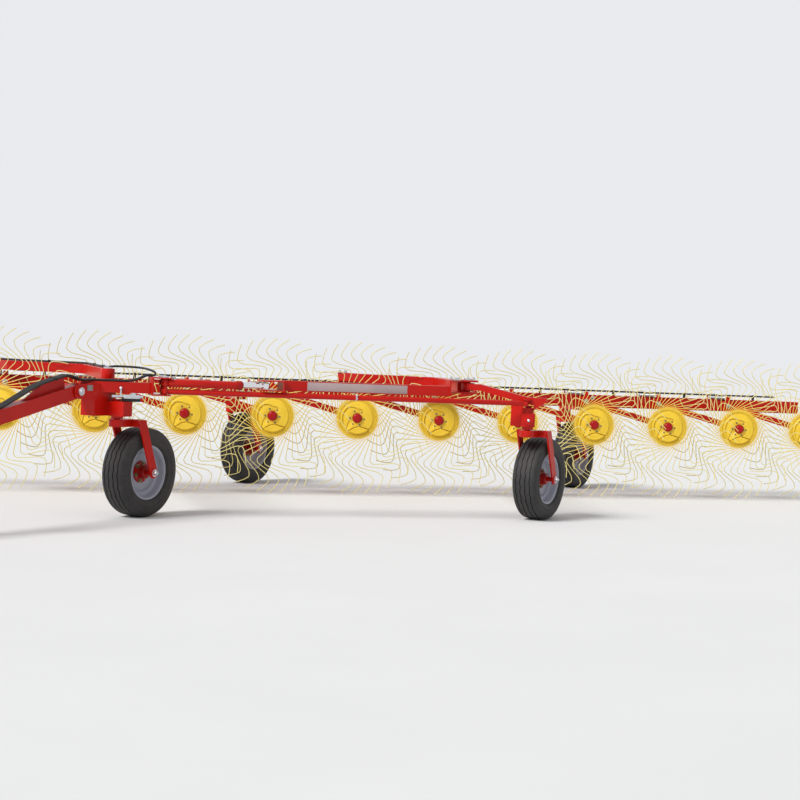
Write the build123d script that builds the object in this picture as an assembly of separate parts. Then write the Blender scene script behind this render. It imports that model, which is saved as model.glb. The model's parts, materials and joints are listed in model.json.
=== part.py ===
from build123d import *
from math import acos, cos, degrees, radians, sin, sqrt, tan
import os

# Trailed wheel rake with one oblique row of finger wheels.
# X runs forward (direction of travel), Y to the left, Z up. The origin is the hitch pin's centre.
# Plan positions are given in the row's own frame: s along the row from the second wheel towards
# the left rear, b behind the row, h the height above the ground. All lengths in millimetres.

# Driving dimensions of the layout
HITCH_HEIGHT = 450
HITCH_REACH = 2200
ROW_ANGLE = 43
WHEEL_COUNT = 11
WHEEL_PITCH = 794
FIRST_WHEEL_S = -794
PLANE_SKEW = 17.9

# Finger wheel
TIP_R = 700
TIP_LIFT = 12
TINE_COUNT = 40
TINE_WIRE = 7
TANGENT_R = 178
KNEE_R = 419
BEND_R = 484
BEND_TURN = -13.3
ELBOW_R = 573
ELBOW_TURN = -25.6
TIP_TURN = -17
DISC_R = 180
DISC_RIM = 8
DISC_CROWN_R = 150
DISC_CROWN_Z = 24
DISC_FACE_R = 84
DISC_FACE_Z = 34
SWIRL_R = 108
SWIRL_W = 9
SWIRL_DEPTH = 6
SWIRL_START = -100
SWIRL_END = 40
LOBE_R = 117
LOBE_TURN = 175
LOBE_LONG = 52
LOBE_SHORT = 27
LOBE_Z = 38
LOBE_TAPER = 12
CAP_R = 43
CAP_TOP_R = 30
CAP_SIDE_Z = 54
CAP_TOP_Z = 66
HUB_R = 42
HUB_BACK = 70
SPINDLE_R = 20
SPINDLE_DEPTH = 55
RUNNING_CLEARANCE = 0.08
HUB_H = TIP_R + TIP_LIFT

# Toolbar behind the row, whose height drives those of the frame on it
TOOLBAR_SIZE = 120
TOOLBAR_H = 930
TOOLBAR_START_S = -1850
TOOLBAR_END_S = 7250
TOOLBAR_TOP_H = TOOLBAR_H + TOOLBAR_SIZE / 2
END_CAP = 6

# Wheel arm, from a bracket on the toolbar down to the wheel's spindle
ARM_REACH = 800
ARM_PIVOT_H = TOOLBAR_H - 5
ARM_BAR_H = 60
ARM_BAR_W = 24
ARM_BOSS_R = 34
ARM_OFFSET = 95
ARM_END_GAP = 5
ARM_PIVOT_B = ARM_REACH * sin(radians(PLANE_SKEW)) + ARM_OFFSET * cos(radians(PLANE_SKEW))
TOOLBAR_STANDOFF = 83.7132
TOOLBAR_B = ARM_PIVOT_B + TOOLBAR_STANDOFF
SEAT_GAP = 0.3
BRACKET_EAR = 10
BRACKET_LENGTH = 110
BRACKET_BACK = 65
BRACKET_H = 100
LEVER_TOP_H = TOOLBAR_TOP_H + 32
LEVER_W = 40
SPRING_LENGTH = 190
SPRING_R = 11
SPRING_H = TOOLBAR_TOP_H + 16
SPRING_LUG = 12

# Crossing arms, cranked so that they pass between two wheel planes
PEDESTAL = 130
PEDESTAL_SETBACK = 5
PEDESTAL_B = TOOLBAR_B + PEDESTAL_SETBACK
PEDESTAL_H = 45
CROSS_W = 100
CROSS_H = 80
CROSS_LOW_H = TOOLBAR_TOP_H + PEDESTAL_H
CROSS_HIGH_H = CROSS_LOW_H + CROSS_H
SWING_S = -100
SWING_B = -1700
LEFT_SWING_OFFSET = 2910
CROSS_BACK_S = -96
CROSS_BACK_B = -190
CROSS_FAR_S = -696
CROSS_FAR_B = 170
CROSS_END_S = -826
CROSS_OVERHANG = 50
CROSS_END_B = TOOLBAR_B + CROSS_OVERHANG
CROSS_STEP = 4 * WHEEL_PITCH

# Swing pins, bosses and plates at the crossing arms' front ends
SWING_PIN_R = 22
SWING_BOSS_R = 52
SWING_BOSS_DEPTH = 60
SWING_GAP = 10
SWING_PLATE = 15
BOSS_GAP = 7
PIN_HEAD_R = 34
PIN_HEAD = 12
FLANGE = 12

# Carriage and front beam
FRAME_B = -1945
BOX_SIZE = 80
BOX_TOP_H = CROSS_LOW_H - SWING_GAP
BOX_LOW_H = BOX_TOP_H - BOX_SIZE
BOX_START_S = -330
BOX_END_S = 188
BEAM_START_S = 1200
BEAM_END_S = 2560
BEAM_SIZE = 80
BEAM_LOW_H = CROSS_LOW_H - 35

# Steering tie and cylinders
EAR_S = 290
EAR_B = -2000
EAR_PLATE = 10
LINK_EAR_R = 40
LINK_PIN_R = 15
TIE_H = BOX_TOP_H - SWING_BOSS_DEPTH
TIE_R = 21
TIE_EYE_R = 27
TIE_EYE_H = 36
CYL_H = BOX_TOP_H + 5
CYL_EYE_H = 40
CYL_EYE_R = 26
EAR_LOW_H = TIE_H - TIE_EYE_H / 2 - ARM_END_GAP - EAR_PLATE
EAR_HIGH_H = CYL_H + CYL_EYE_H / 2 + EAR_PLATE
EYE_S = 1060
EYE_GAP = 7
EYE_PLATE_LOW_H = CYL_H - CYL_EYE_H / 2 - EYE_GAP - EAR_PLATE
EYE_PLATE_HIGH_H = CYL_H + CYL_EYE_H / 2 + EYE_GAP + EAR_PLATE
REAR_CYL_B = -1860
BARREL_R = 30
ROD_R = 17
ROD_TRAVEL = 60
FRONT_BARREL_END_S = 870
REAR_BARREL_END_S = 655
REAR_SLEEVE_START_S = 740

# Casters
CASTER_TRAIL = 290
TYRE_R = 340
TYRE_W = 215
TYRE_FLATS = 60
TREAD_HALF = 78
SHOULDER_R = 322
SHOULDER_HALF = 98
SIDE_R = 265
BEAD_R = 192
BEAD_HALF = 78
RIM_R = 206
RIM_LIP = 7
RIM_DISC = 10
RIM_STEP_R = 150
RIM_STEP = 14
HUB_PLATE_R = 84
HUB_PLATE = 11
HUB_DRUM_R = 48
HUB_HALF = 70
KINGPIN_R = 25
AXLE_R = 19
FORK_INSIDE = 125
FORK_PLATE = 14
FORK_W = 84
CROWN_LOW_H = 2 * TYRE_R + 10
CROWN_HIGH_H = CROWN_LOW_H + 55
HEAD_R = 45
HEAD_LOW_H = CROWN_HIGH_H + EYE_GAP
HEAD_HIGH_H = TOOLBAR_H
HOUSING_LOW_H = HEAD_LOW_H + 18
HOUSING_HIGH_H = BOX_LOW_H - 65
HOUSING_L = 100
HOUSING_W = 200
POST_FRONT = 160
CROWN_FRONT = -95
TONGUE_R = HEAD_R + 14
RIGHT_CASTER_S = -51
LEFT_CASTER_S = 3250
LEFT_ARM_END_H = BOX_TOP_H - 40
LEFT_ARM_TIP = 56
LEFT_ARM_LEVEL = 110
WEB_LENGTH = 100
HEAD_BLOCK = 110
HEAD_BLOCK_LOW_H = HEAD_LOW_H + 22
HEAD_BOSS_R = 46
HEAD_BOSS = 18
HEAD_RING = 7
HEAD_RING_PITCH = 15
HEAD_RING_COUNT = 3
NOSE_L = 150
NOSE_TIP = 30
NOSE_DROP = 45
REAR_CASTER_B = 930
REAR_CASTER_S = (1405, 4873)
REAR_NECK_H = HEAD_HIGH_H - CROSS_W / 2
REAR_HEAD_R = 62

# Drawbar and jack
DRAWBAR_PIVOT_S = -390
DRAWBAR_PIVOT_B = -2090
DRAWBAR_PIVOT_H = BOX_TOP_H - 75
DRAWBAR_W = 100
DRAWBAR_H = 100
DRAWBAR_BOSS_R = 52
DRAWBAR_EAR = 14
DRAWBAR_PIN_R = 18
PIVOT_GAP = 1
PIVOT_BLOCK_START = 100
PIVOT_BLOCK_L = 160
PIVOT_BLOCK_H = 120
PIVOT_EAR_H = 110
RIB_THICK = 12
RIB_START = 90
RIB_TOP = 300
RIB_END = 700
RIB_H = 75
HITCH_NECK = 150
HITCH_EAR = 20
HITCH_GAP = 60
HITCH_BORE_R = 16
HITCH_EAR_R = 45
JACK_X = 1080
JACK_Y = 135
JACK_R = 32
JACK_LEG_R = 25
JACK_PIN_R = 20
JACK_FOOT = 150
JACK_FOOT_PLATE = 10
JACK_TUBE_DOWN = 420
JACK_TUBE_UP = 170

# Hoses, held by straps on the machine along their whole way
HOSE_R = 8.5
HOSE_PITCH = 18
HOSE_COUNT = 4
HOSE_LIFT = HOSE_R + 1
HOSE_BEND = 0.45
HOSE_REACH = 90
HOSE_FRONT_T = 2000
HOSE_RISE_T = 740
HOSE_CREST = 60
HOSE_REAR_T = 100
HOSE_BEHIND_PIVOT = 90
HOSE_RISE_S = 60
HOSE_END_S = 212
HOSE_END_B = -1870
STRAP = 10
STRAP_EDGE = 4
DRAWBAR_STRAPS_T = (1900, 1350, 800)
FRAME_HOSE_START_B = -1640
FRAME_HOSE_LEAVE = 0.77
FRAME_HOSE_OVER = 77
FRAME_HOSE_DROP = 30
FRAME_HOSE_END_S = 7000
DETOUR_START = 200
DETOUR_HALF = 85
DETOUR_B = CROSS_END_B + 35
CLIP_R = 13
ARM_CLIPS_B = (-1400, -800)
BAR_CLIP_S = -397

UP = Vector(0, 0, 1)
ROW_DIR = Vector(-cos(radians(ROW_ANGLE)), sin(radians(ROW_ANGLE)), 0)
BACK_DIR = Vector(-sin(radians(ROW_ANGLE)), -cos(radians(ROW_ANGLE)), 0)
ROW_ZERO = Vector(-HITCH_REACH, 0, 0) - ROW_DIR * DRAWBAR_PIVOT_S - BACK_DIR * DRAWBAR_PIVOT_B
SKEW_COS = cos(radians(PLANE_SKEW))
SKEW_SIN = sin(radians(PLANE_SKEW))
PLANE_DIR = ROW_DIR * SKEW_COS - BACK_DIR * SKEW_SIN
FACE_DIR = (ROW_DIR * SKEW_SIN + BACK_DIR * SKEW_COS) * -1

PARTS = {}


def at(s, b, h):
    """A point of the row's frame in the machine's frame."""
    return ROW_ZERO + ROW_DIR * s + BACK_DIR * b + UP * (h - HITCH_HEIGHT)


def keep(name, *solids):
    """Store the solids of one piece under its node name."""
    PARTS[name] = list(solids)


def bar(start, end, width, height):
    """A square bar between two points, its width level."""
    axis = end - start
    side = UP.cross(axis)
    if side.length < 1:
        side = ROW_DIR
    plane = Plane(origin=start, x_dir=side, z_dir=axis)
    low = (Align.CENTER, Align.CENTER, Align.MIN)
    return plane.location * Box(width, height, axis.length, align=low)


def rod(start, end, radius):
    """A round bar between two points."""
    axis = end - start
    plane = Plane(origin=start, z_dir=axis)
    low = (Align.CENTER, Align.CENTER, Align.MIN)
    return plane.location * Cylinder(radius, axis.length, align=low)


def prism(outline, low_h, high_h):
    """A plate with its outline given as row-frame points, between two heights."""
    corners = [at(s, b, low_h) for s, b in outline]
    face = make_face(Polyline(*corners, close=True))
    return extrude(face, amount=high_h - low_h, dir=UP)


def offset_sides(path, half):
    """Points of both sides of a bent strip that follows a plan path, with mitred bends."""
    left = []
    right = []
    for index, (x, y) in enumerate(path):
        before = path[max(index - 1, 0)]
        after = path[min(index + 1, len(path) - 1)]
        legs = []
        for (ax, ay), (bx, by) in ((before, (x, y)), ((x, y), after)):
            length = sqrt((bx - ax) ** 2 + (by - ay) ** 2)
            if length > 0:
                legs.append(((bx - ax) / length, (by - ay) / length))
        nx = -sum(leg[1] for leg in legs)
        ny = sum(leg[0] for leg in legs)
        scale = half / (nx * -legs[0][1] + ny * legs[0][0])
        left.append((x + nx * scale, y + ny * scale))
        right.append((x - nx * scale, y - ny * scale))
    return left, right


def strip(path, width, low_h, high_h):
    """A cranked bar of even width that follows a plan path."""
    left, right = offset_sides(path, width / 2)
    return prism(left + right[::-1], low_h, high_h)


def polar(radius, angle):
    """A point at a clockwise angle from the top."""
    return radius * sin(radians(angle)), radius * cos(radians(angle))


def turned(point, angle):
    """A point turned clockwise about the wheel's centre."""
    x, y = point
    c = cos(radians(angle))
    s = sin(radians(angle))
    return x * c + y * s, y * c - x * s


def crossing(p, q, r, t):
    """Where the line p-q meets the line r-t."""
    dx, dy = q[0] - p[0], q[1] - p[1]
    ex, ey = t[0] - r[0], t[1] - r[1]
    k = ((r[0] - p[0]) * ey - (r[1] - p[1]) * ex) / (dx * ey - dy * ex)
    return p[0] + k * dx, p[1] + k * dy


def tine_ring():
    """All tines of a wheel with the plate that their roots merge into."""
    root_turn = -degrees(acos(TANGENT_R / KNEE_R))
    centre = [
        polar(TANGENT_R, root_turn),
        polar(KNEE_R, 0),
        polar(BEND_R, BEND_TURN),
        polar(ELBOW_R, ELBOW_TURN),
        polar(TIP_R, TIP_TURN),
    ]
    left, right = offset_sides(centre, TINE_WIRE / 2)
    step = 360 / TINE_COUNT
    next_left = [turned(point, step) for point in left[:2]]
    notch = crossing(right[0], right[1], next_left[0], next_left[1])
    outline = []
    for index in range(TINE_COUNT):
        side = left[1:] + right[:0:-1] + [notch]
        outline += [turned(point, index * step) for point in side]
    face = make_face(Polyline(*outline, close=True))
    return Pos(0, 0, -TINE_WIRE / 2) * extrude(face, amount=TINE_WIRE)


def disc_and_hub():
    """Pressed disc, hub with its blind spindle bore, and cap, as one turned body."""
    bore_r = SPINDLE_R + RUNNING_CLEARANCE
    bore_top = SPINDLE_DEPTH - HUB_BACK + 2
    profile = [
        (bore_r, -HUB_BACK),
        (HUB_R, -HUB_BACK),
        (HUB_R, 0),
        (DISC_R, 0),
        (DISC_R, DISC_RIM),
        (DISC_CROWN_R, DISC_CROWN_Z),
        (DISC_FACE_R, DISC_FACE_Z),
        (CAP_R, DISC_FACE_Z),
        (CAP_R, CAP_SIDE_Z),
        (CAP_TOP_R, CAP_TOP_Z),
        (0, CAP_TOP_Z),
        (0, bore_top),
        (bore_r, bore_top),
    ]
    face = make_face(Polyline(*[(r, 0, z) for r, z in profile], close=True))
    disc = revolve(face, axis=Axis.Z)
    fall = (DISC_FACE_Z - DISC_CROWN_Z) / (DISC_CROWN_R - DISC_FACE_R)
    groove_z = DISC_FACE_Z - (SWIRL_R - DISC_FACE_R) * fall - SWIRL_DEPTH
    groove = Pos(SWIRL_R, 0, groove_z) * Box(
        SWIRL_W, SWIRL_DEPTH, 2 * SWIRL_DEPTH, align=(Align.MIN, Align.CENTER, Align.MIN)
    )
    side = groove.faces().sort_by(Axis.Y)[0]
    ring = Pos(0, SWIRL_DEPTH / 2, 0) * side
    disc -= Rot(0, 0, 90 - SWIRL_END) * revolve(ring, axis=Axis.Z, revolution_arc=SWIRL_END - SWIRL_START)
    lobe_x, lobe_y = polar(LOBE_R, LOBE_TURN)
    lobe = Pos(lobe_x, lobe_y, 0) * Rot(0, 0, -LOBE_TURN) * Ellipse(LOBE_LONG, LOBE_SHORT)
    return disc + extrude(lobe, amount=LOBE_Z, taper=LOBE_TAPER)


def wheel_plane(index):
    """The plane of one finger wheel: X along the plane, Y up, Z out of its front face."""
    hub = at(FIRST_WHEEL_S + index * WHEEL_PITCH, 0, HUB_H)
    return Plane(origin=hub, x_dir=PLANE_DIR, z_dir=FACE_DIR)


def finger_wheels():
    """One node for each wheel, all from the same body."""
    wheel = tine_ring() + disc_and_hub()
    for index in range(WHEEL_COUNT):
        keep(f"rake_wheel_{index + 1:02d}", wheel_plane(index).location * wheel)


def arm_point(x, h, depth):
    """A point of a wheel's plane at a height, some way behind the wheel."""
    return Pos(x, h - HUB_H, -depth)


def wheel_arms():
    """The arms with their spindles and spring levers, one solid for each wheel."""
    flat = (Align.CENTER, Align.CENTER, Align.MIN)
    pivot = Vector(-ARM_REACH, ARM_PIVOT_H - HUB_H, -ARM_OFFSET)
    hub = Vector(0, 0, -ARM_OFFSET)
    side = Plane(origin=hub, x_dir=Vector(0, 0, 1), z_dir=pivot - hub)
    arm = side.location * Box(ARM_BAR_W, ARM_BAR_H, (pivot - hub).length, align=flat)
    back_face = -ARM_OFFSET - ARM_BAR_W / 2
    boss_depth = -HUB_BACK - ARM_END_GAP - back_face
    arm += Pos(0, 0, back_face) * Cylinder(ARM_BOSS_R, boss_depth, align=flat)
    spindle_length = ARM_OFFSET - HUB_BACK + SPINDLE_DEPTH
    arm += Pos(0, 0, -ARM_OFFSET) * Cylinder(SPINDLE_R, spindle_length, align=flat)
    lever_low_h = ARM_PIVOT_H - LEVER_W / 2
    lever_h = LEVER_TOP_H - lever_low_h
    lever = Box(LEVER_W, lever_h, ARM_BAR_W)
    arm += arm_point(-ARM_REACH, lever_low_h + lever_h / 2, ARM_OFFSET) * lever
    keep("wheel_arms", *[wheel_plane(k).location * arm for k in range(WHEEL_COUNT)])


def arm_springs():
    """The tension springs between the levers and their lugs, as plain round bars."""
    low = (Align.CENTER, Align.CENTER, Align.MIN)
    spring = Rot(0, -90, 0) * Cylinder(SPRING_R, SPRING_LENGTH, align=low)
    spring = arm_point(-ARM_REACH - LEVER_W / 2, SPRING_H, ARM_OFFSET) * spring
    keep("arm_springs", *[wheel_plane(k).location * spring for k in range(WHEEL_COUNT)])


def toolbar():
    """The long square beam behind the row, with a fork and a spring lug for each arm."""
    start = at(TOOLBAR_START_S, TOOLBAR_B, TOOLBAR_H)
    end = at(TOOLBAR_END_S, TOOLBAR_B, TOOLBAR_H)
    cap = ROW_DIR * END_CAP
    beam = bar(start, end, TOOLBAR_SIZE, TOOLBAR_SIZE)
    beam += bar(start - cap, end + cap, TOOLBAR_SIZE - END_CAP, TOOLBAR_SIZE - END_CAP)
    slot_w = ARM_BAR_W + 2 * SEAT_GAP
    outer = Box(BRACKET_LENGTH, BRACKET_H, slot_w + 2 * BRACKET_EAR)
    slot = Pos(BRACKET_EAR, 0, 0) * Box(BRACKET_LENGTH, BRACKET_H, slot_w)
    fork_x = -ARM_REACH - BRACKET_BACK + BRACKET_LENGTH / 2
    fork = arm_point(fork_x, ARM_PIVOT_H, ARM_OFFSET) * (outer - slot)
    lug_x = -ARM_REACH - LEVER_W / 2 - SPRING_LENGTH - SPRING_LUG / 2
    lug_h = LEVER_TOP_H - TOOLBAR_TOP_H
    lug = Box(SPRING_LUG, lug_h, LEVER_W)
    lug = arm_point(lug_x, TOOLBAR_TOP_H + lug_h / 2, ARM_OFFSET) * lug
    for index in range(WHEEL_COUNT):
        place = wheel_plane(index).location
        beam += [place * fork, place * lug]
    keep("toolbar", beam)


def pin(s, b, low_h, high_h, radius):
    """An upright round pin of the row's frame."""
    return rod(at(s, b, low_h), at(s, b, high_h), radius)


def cross_path(start_s, shift):
    """Plan path of a crossing arm from the front frame to the toolbar."""
    return [
        (start_s, SWING_B + CROSS_W),
        (CROSS_BACK_S + shift, CROSS_BACK_B),
        (CROSS_FAR_S + shift, CROSS_FAR_B),
        (CROSS_END_S + shift, CROSS_END_B),
    ]


def pedestal(shift):
    """The block that a crossing arm's rear end stands on."""
    half = PEDESTAL / 2
    s = CROSS_END_S + shift
    corners = [(s - half, PEDESTAL_B), (s + half, PEDESTAL_B)]
    corners += [(s + half, CROSS_END_B + FLANGE), (s - half, CROSS_END_B + FLANGE)]
    return prism(corners, TOOLBAR_TOP_H, CROSS_LOW_H)


def crossing_arms():
    """Both cranked arms; the right one carries the carriage's pin at its front end."""
    right = strip(cross_path(SWING_S, 0), CROSS_W, CROSS_LOW_H, CROSS_HIGH_H)
    right += pin(SWING_S, SWING_B, CROSS_LOW_H, CROSS_HIGH_H, SWING_BOSS_R)
    nose = [(SWING_S - SWING_BOSS_R, SWING_B), (SWING_S + SWING_BOSS_R, SWING_B)]
    nose += [(SWING_S + CROSS_W / 2, SWING_B + CROSS_W), (SWING_S - CROSS_W / 2, SWING_B + CROSS_W)]
    right += prism(nose, CROSS_LOW_H, CROSS_HIGH_H)
    boss_low_h = BOX_TOP_H - SWING_BOSS_DEPTH
    pin_low_h = boss_low_h - SWING_GAP - PIN_HEAD
    right += pin(SWING_S, SWING_B, pin_low_h, CROSS_LOW_H, SWING_PIN_R)
    right += pin(SWING_S, SWING_B, pin_low_h, pin_low_h + PIN_HEAD, PIN_HEAD_R)
    right += pedestal(0)
    keep("crossing_arm_right", right)
    left_s = SWING_S + LEFT_SWING_OFFSET
    left = strip(cross_path(left_s, CROSS_STEP), CROSS_W, CROSS_LOW_H, CROSS_HIGH_H)
    left += pedestal(CROSS_STEP)
    keep("crossing_arm_left", left)


def front_beam():
    """The square beam with the cylinders' clevis at one end and the arm's at the other."""
    half = BEAM_SIZE / 2
    low_b, high_b = FRAME_B - half, FRAME_B + half
    beam_high_h = BEAM_LOW_H + BEAM_SIZE
    sides = [(BEAM_START_S, low_b), (BEAM_END_S, low_b), (BEAM_END_S, high_b), (BEAM_START_S, high_b)]
    beam = prism(sides, BEAM_LOW_H, beam_high_h)
    eye_low_b = EAR_B - CYL_EYE_R - EAR_PLATE
    eye_high_b = REAR_CYL_B + CYL_EYE_R + EAR_PLATE
    eye_low_s = EYE_S - CYL_EYE_R - EAR_PLATE
    web = [(BEAM_START_S - FLANGE, eye_low_b), (BEAM_START_S, eye_low_b)]
    web += [(BEAM_START_S, eye_high_b), (BEAM_START_S - FLANGE, eye_high_b)]
    beam += prism(web, EYE_PLATE_LOW_H, EYE_PLATE_HIGH_H + EAR_PLATE)
    ear = [(eye_low_s, eye_low_b), (BEAM_START_S, eye_low_b)]
    ear += [(BEAM_START_S, eye_high_b), (eye_low_s, eye_high_b)]
    for low_h in (EYE_PLATE_LOW_H, EYE_PLATE_HIGH_H):
        beam += prism(ear, low_h, low_h + EAR_PLATE)
    plate_low_h = CROSS_LOW_H - SWING_PLATE
    flange = [(BEAM_END_S - FLANGE, low_b - FLANGE), (BEAM_END_S, low_b - FLANGE)]
    flange += [(BEAM_END_S, high_b + FLANGE), (BEAM_END_S - FLANGE, high_b + FLANGE)]
    beam += prism(flange, BEAM_LOW_H, CROSS_HIGH_H + SWING_PLATE)
    swing_s = SWING_S + LEFT_SWING_OFFSET
    reach = SWING_BOSS_R + FLANGE
    plate = [(BEAM_END_S - FLANGE, low_b - FLANGE), (BEAM_END_S, low_b - FLANGE)]
    plate += [(swing_s - reach, SWING_B - reach), (swing_s + reach, SWING_B - reach)]
    plate += [(swing_s + reach, SWING_B + 2 * CROSS_W)]
    plate += [(swing_s - reach, SWING_B + 2 * CROSS_W), (BEAM_END_S - FLANGE, high_b + FLANGE)]
    for low_h in (plate_low_h, CROSS_HIGH_H):
        beam += prism(plate, low_h, low_h + SWING_PLATE)
    beam += pin(swing_s, SWING_B, plate_low_h - PIN_HEAD, CROSS_HIGH_H + SWING_PLATE, SWING_PIN_R)
    keep("front_beam", beam)


def carriage_place():
    """Machine-frame point of the drawbar's pivot."""
    return at(DRAWBAR_PIVOT_S, DRAWBAR_PIVOT_B, DRAWBAR_PIVOT_H)


def carriage():
    """The swinging front carriage: box beam, post, caster head, link ears and drawbar clevis."""
    half = BOX_SIZE / 2
    low_b, high_b = FRAME_B - half, FRAME_B + half
    sides = [(BOX_START_S, low_b), (BOX_END_S, low_b), (BOX_END_S, high_b), (BOX_START_S, high_b)]
    body = prism(sides, BOX_LOW_H, BOX_TOP_H)
    ear_low_b = EAR_B - LINK_EAR_R
    ear_high_b = REAR_CYL_B + LINK_EAR_R
    flange_end_s = BOX_END_S + FLANGE
    flange = [(BOX_END_S, ear_low_b), (flange_end_s, ear_low_b)]
    flange += [(flange_end_s, ear_high_b), (BOX_END_S, ear_high_b)]
    body += prism(flange, EAR_LOW_H, EAR_HIGH_H + EAR_PLATE)
    ear = [(BOX_END_S, ear_low_b), (EAR_S + LINK_EAR_R, ear_low_b)]
    ear += [(EAR_S + LINK_EAR_R, ear_high_b), (BOX_END_S, ear_high_b)]
    for low_h in (EAR_LOW_H, EAR_HIGH_H):
        body += prism(ear, low_h, low_h + EAR_PLATE)
    for b in (EAR_B, REAR_CYL_B):
        body += pin(EAR_S, b, EAR_LOW_H, EAR_HIGH_H + EAR_PLATE, LINK_PIN_R)
    boss_low_h = BOX_TOP_H - SWING_BOSS_DEPTH
    neck = [(SWING_S - SWING_BOSS_R, high_b), (SWING_S + SWING_BOSS_R, high_b)]
    neck += [(SWING_S + SWING_BOSS_R, SWING_B), (SWING_S - SWING_BOSS_R, SWING_B)]
    body += prism(neck, boss_low_h, BOX_TOP_H)
    body += pin(SWING_S, SWING_B, boss_low_h, BOX_TOP_H, SWING_BOSS_R)
    body -= pin(SWING_S, SWING_B, BOX_LOW_H, CROSS_LOW_H, SWING_PIN_R + RUNNING_CLEARANCE)
    pivot = carriage_place()
    inner = DRAWBAR_W / 2 + PIVOT_GAP
    block_w = 2 * (inner + DRAWBAR_EAR)
    low = (Align.MAX, Align.CENTER, Align.CENTER)
    block = Pos(pivot.X - PIVOT_BLOCK_START, pivot.Y, pivot.Z) * Box(
        PIVOT_BLOCK_L, block_w, PIVOT_BLOCK_H, align=low
    )
    body += block
    kingpin = at(RIGHT_CASTER_S, FRAME_B, HOUSING_LOW_H)
    housing_h = HOUSING_HIGH_H - HOUSING_LOW_H
    standing = (Align.CENTER, Align.CENTER, Align.MIN)
    body += Pos(kingpin) * Box(HOUSING_L, HOUSING_W, housing_h, align=standing)
    post_end_x = kingpin.X - HOUSING_L / 2
    post_l = pivot.X - POST_FRONT - post_end_x
    from_low = (Align.MIN, Align.CENTER, Align.MIN)
    post = Box(post_l, block_w, BOX_LOW_H - HOUSING_LOW_H, align=from_low)
    body += Pos(post_end_x, pivot.Y, kingpin.Z) * post
    body += pin(RIGHT_CASTER_S, FRAME_B, HEAD_LOW_H, HOUSING_LOW_H, HEAD_R)
    kingpin_hole_r = KINGPIN_R + RUNNING_CLEARANCE
    body -= pin(RIGHT_CASTER_S, FRAME_B, HEAD_LOW_H, HOUSING_HIGH_H, kingpin_hole_r)
    for sign in (-1, 1):
        y = pivot.Y + sign * (inner + DRAWBAR_EAR / 2)
        arm = Pos(pivot.X, y, pivot.Z) * Box(PIVOT_BLOCK_START, DRAWBAR_EAR, PIVOT_EAR_H, align=low)
        cheek = Pos(pivot.X, y, pivot.Z) * Rot(90, 0, 0) * Cylinder(PIVOT_EAR_H / 2, DRAWBAR_EAR)
        body += [arm, cheek]
    cross_pin = Pos(pivot) * Rot(90, 0, 0) * Cylinder(DRAWBAR_PIN_R, block_w + 2 * PIN_HEAD)
    washer_y = block_w / 2 + PIN_HEAD / 2
    body += cross_pin
    for sign in (-1, 1):
        washer = Pos(pivot.X, pivot.Y + sign * washer_y, pivot.Z) * Rot(90, 0, 0)
        body += washer * Cylinder(PIN_HEAD_R, PIN_HEAD)
    keep("carriage", body)


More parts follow.
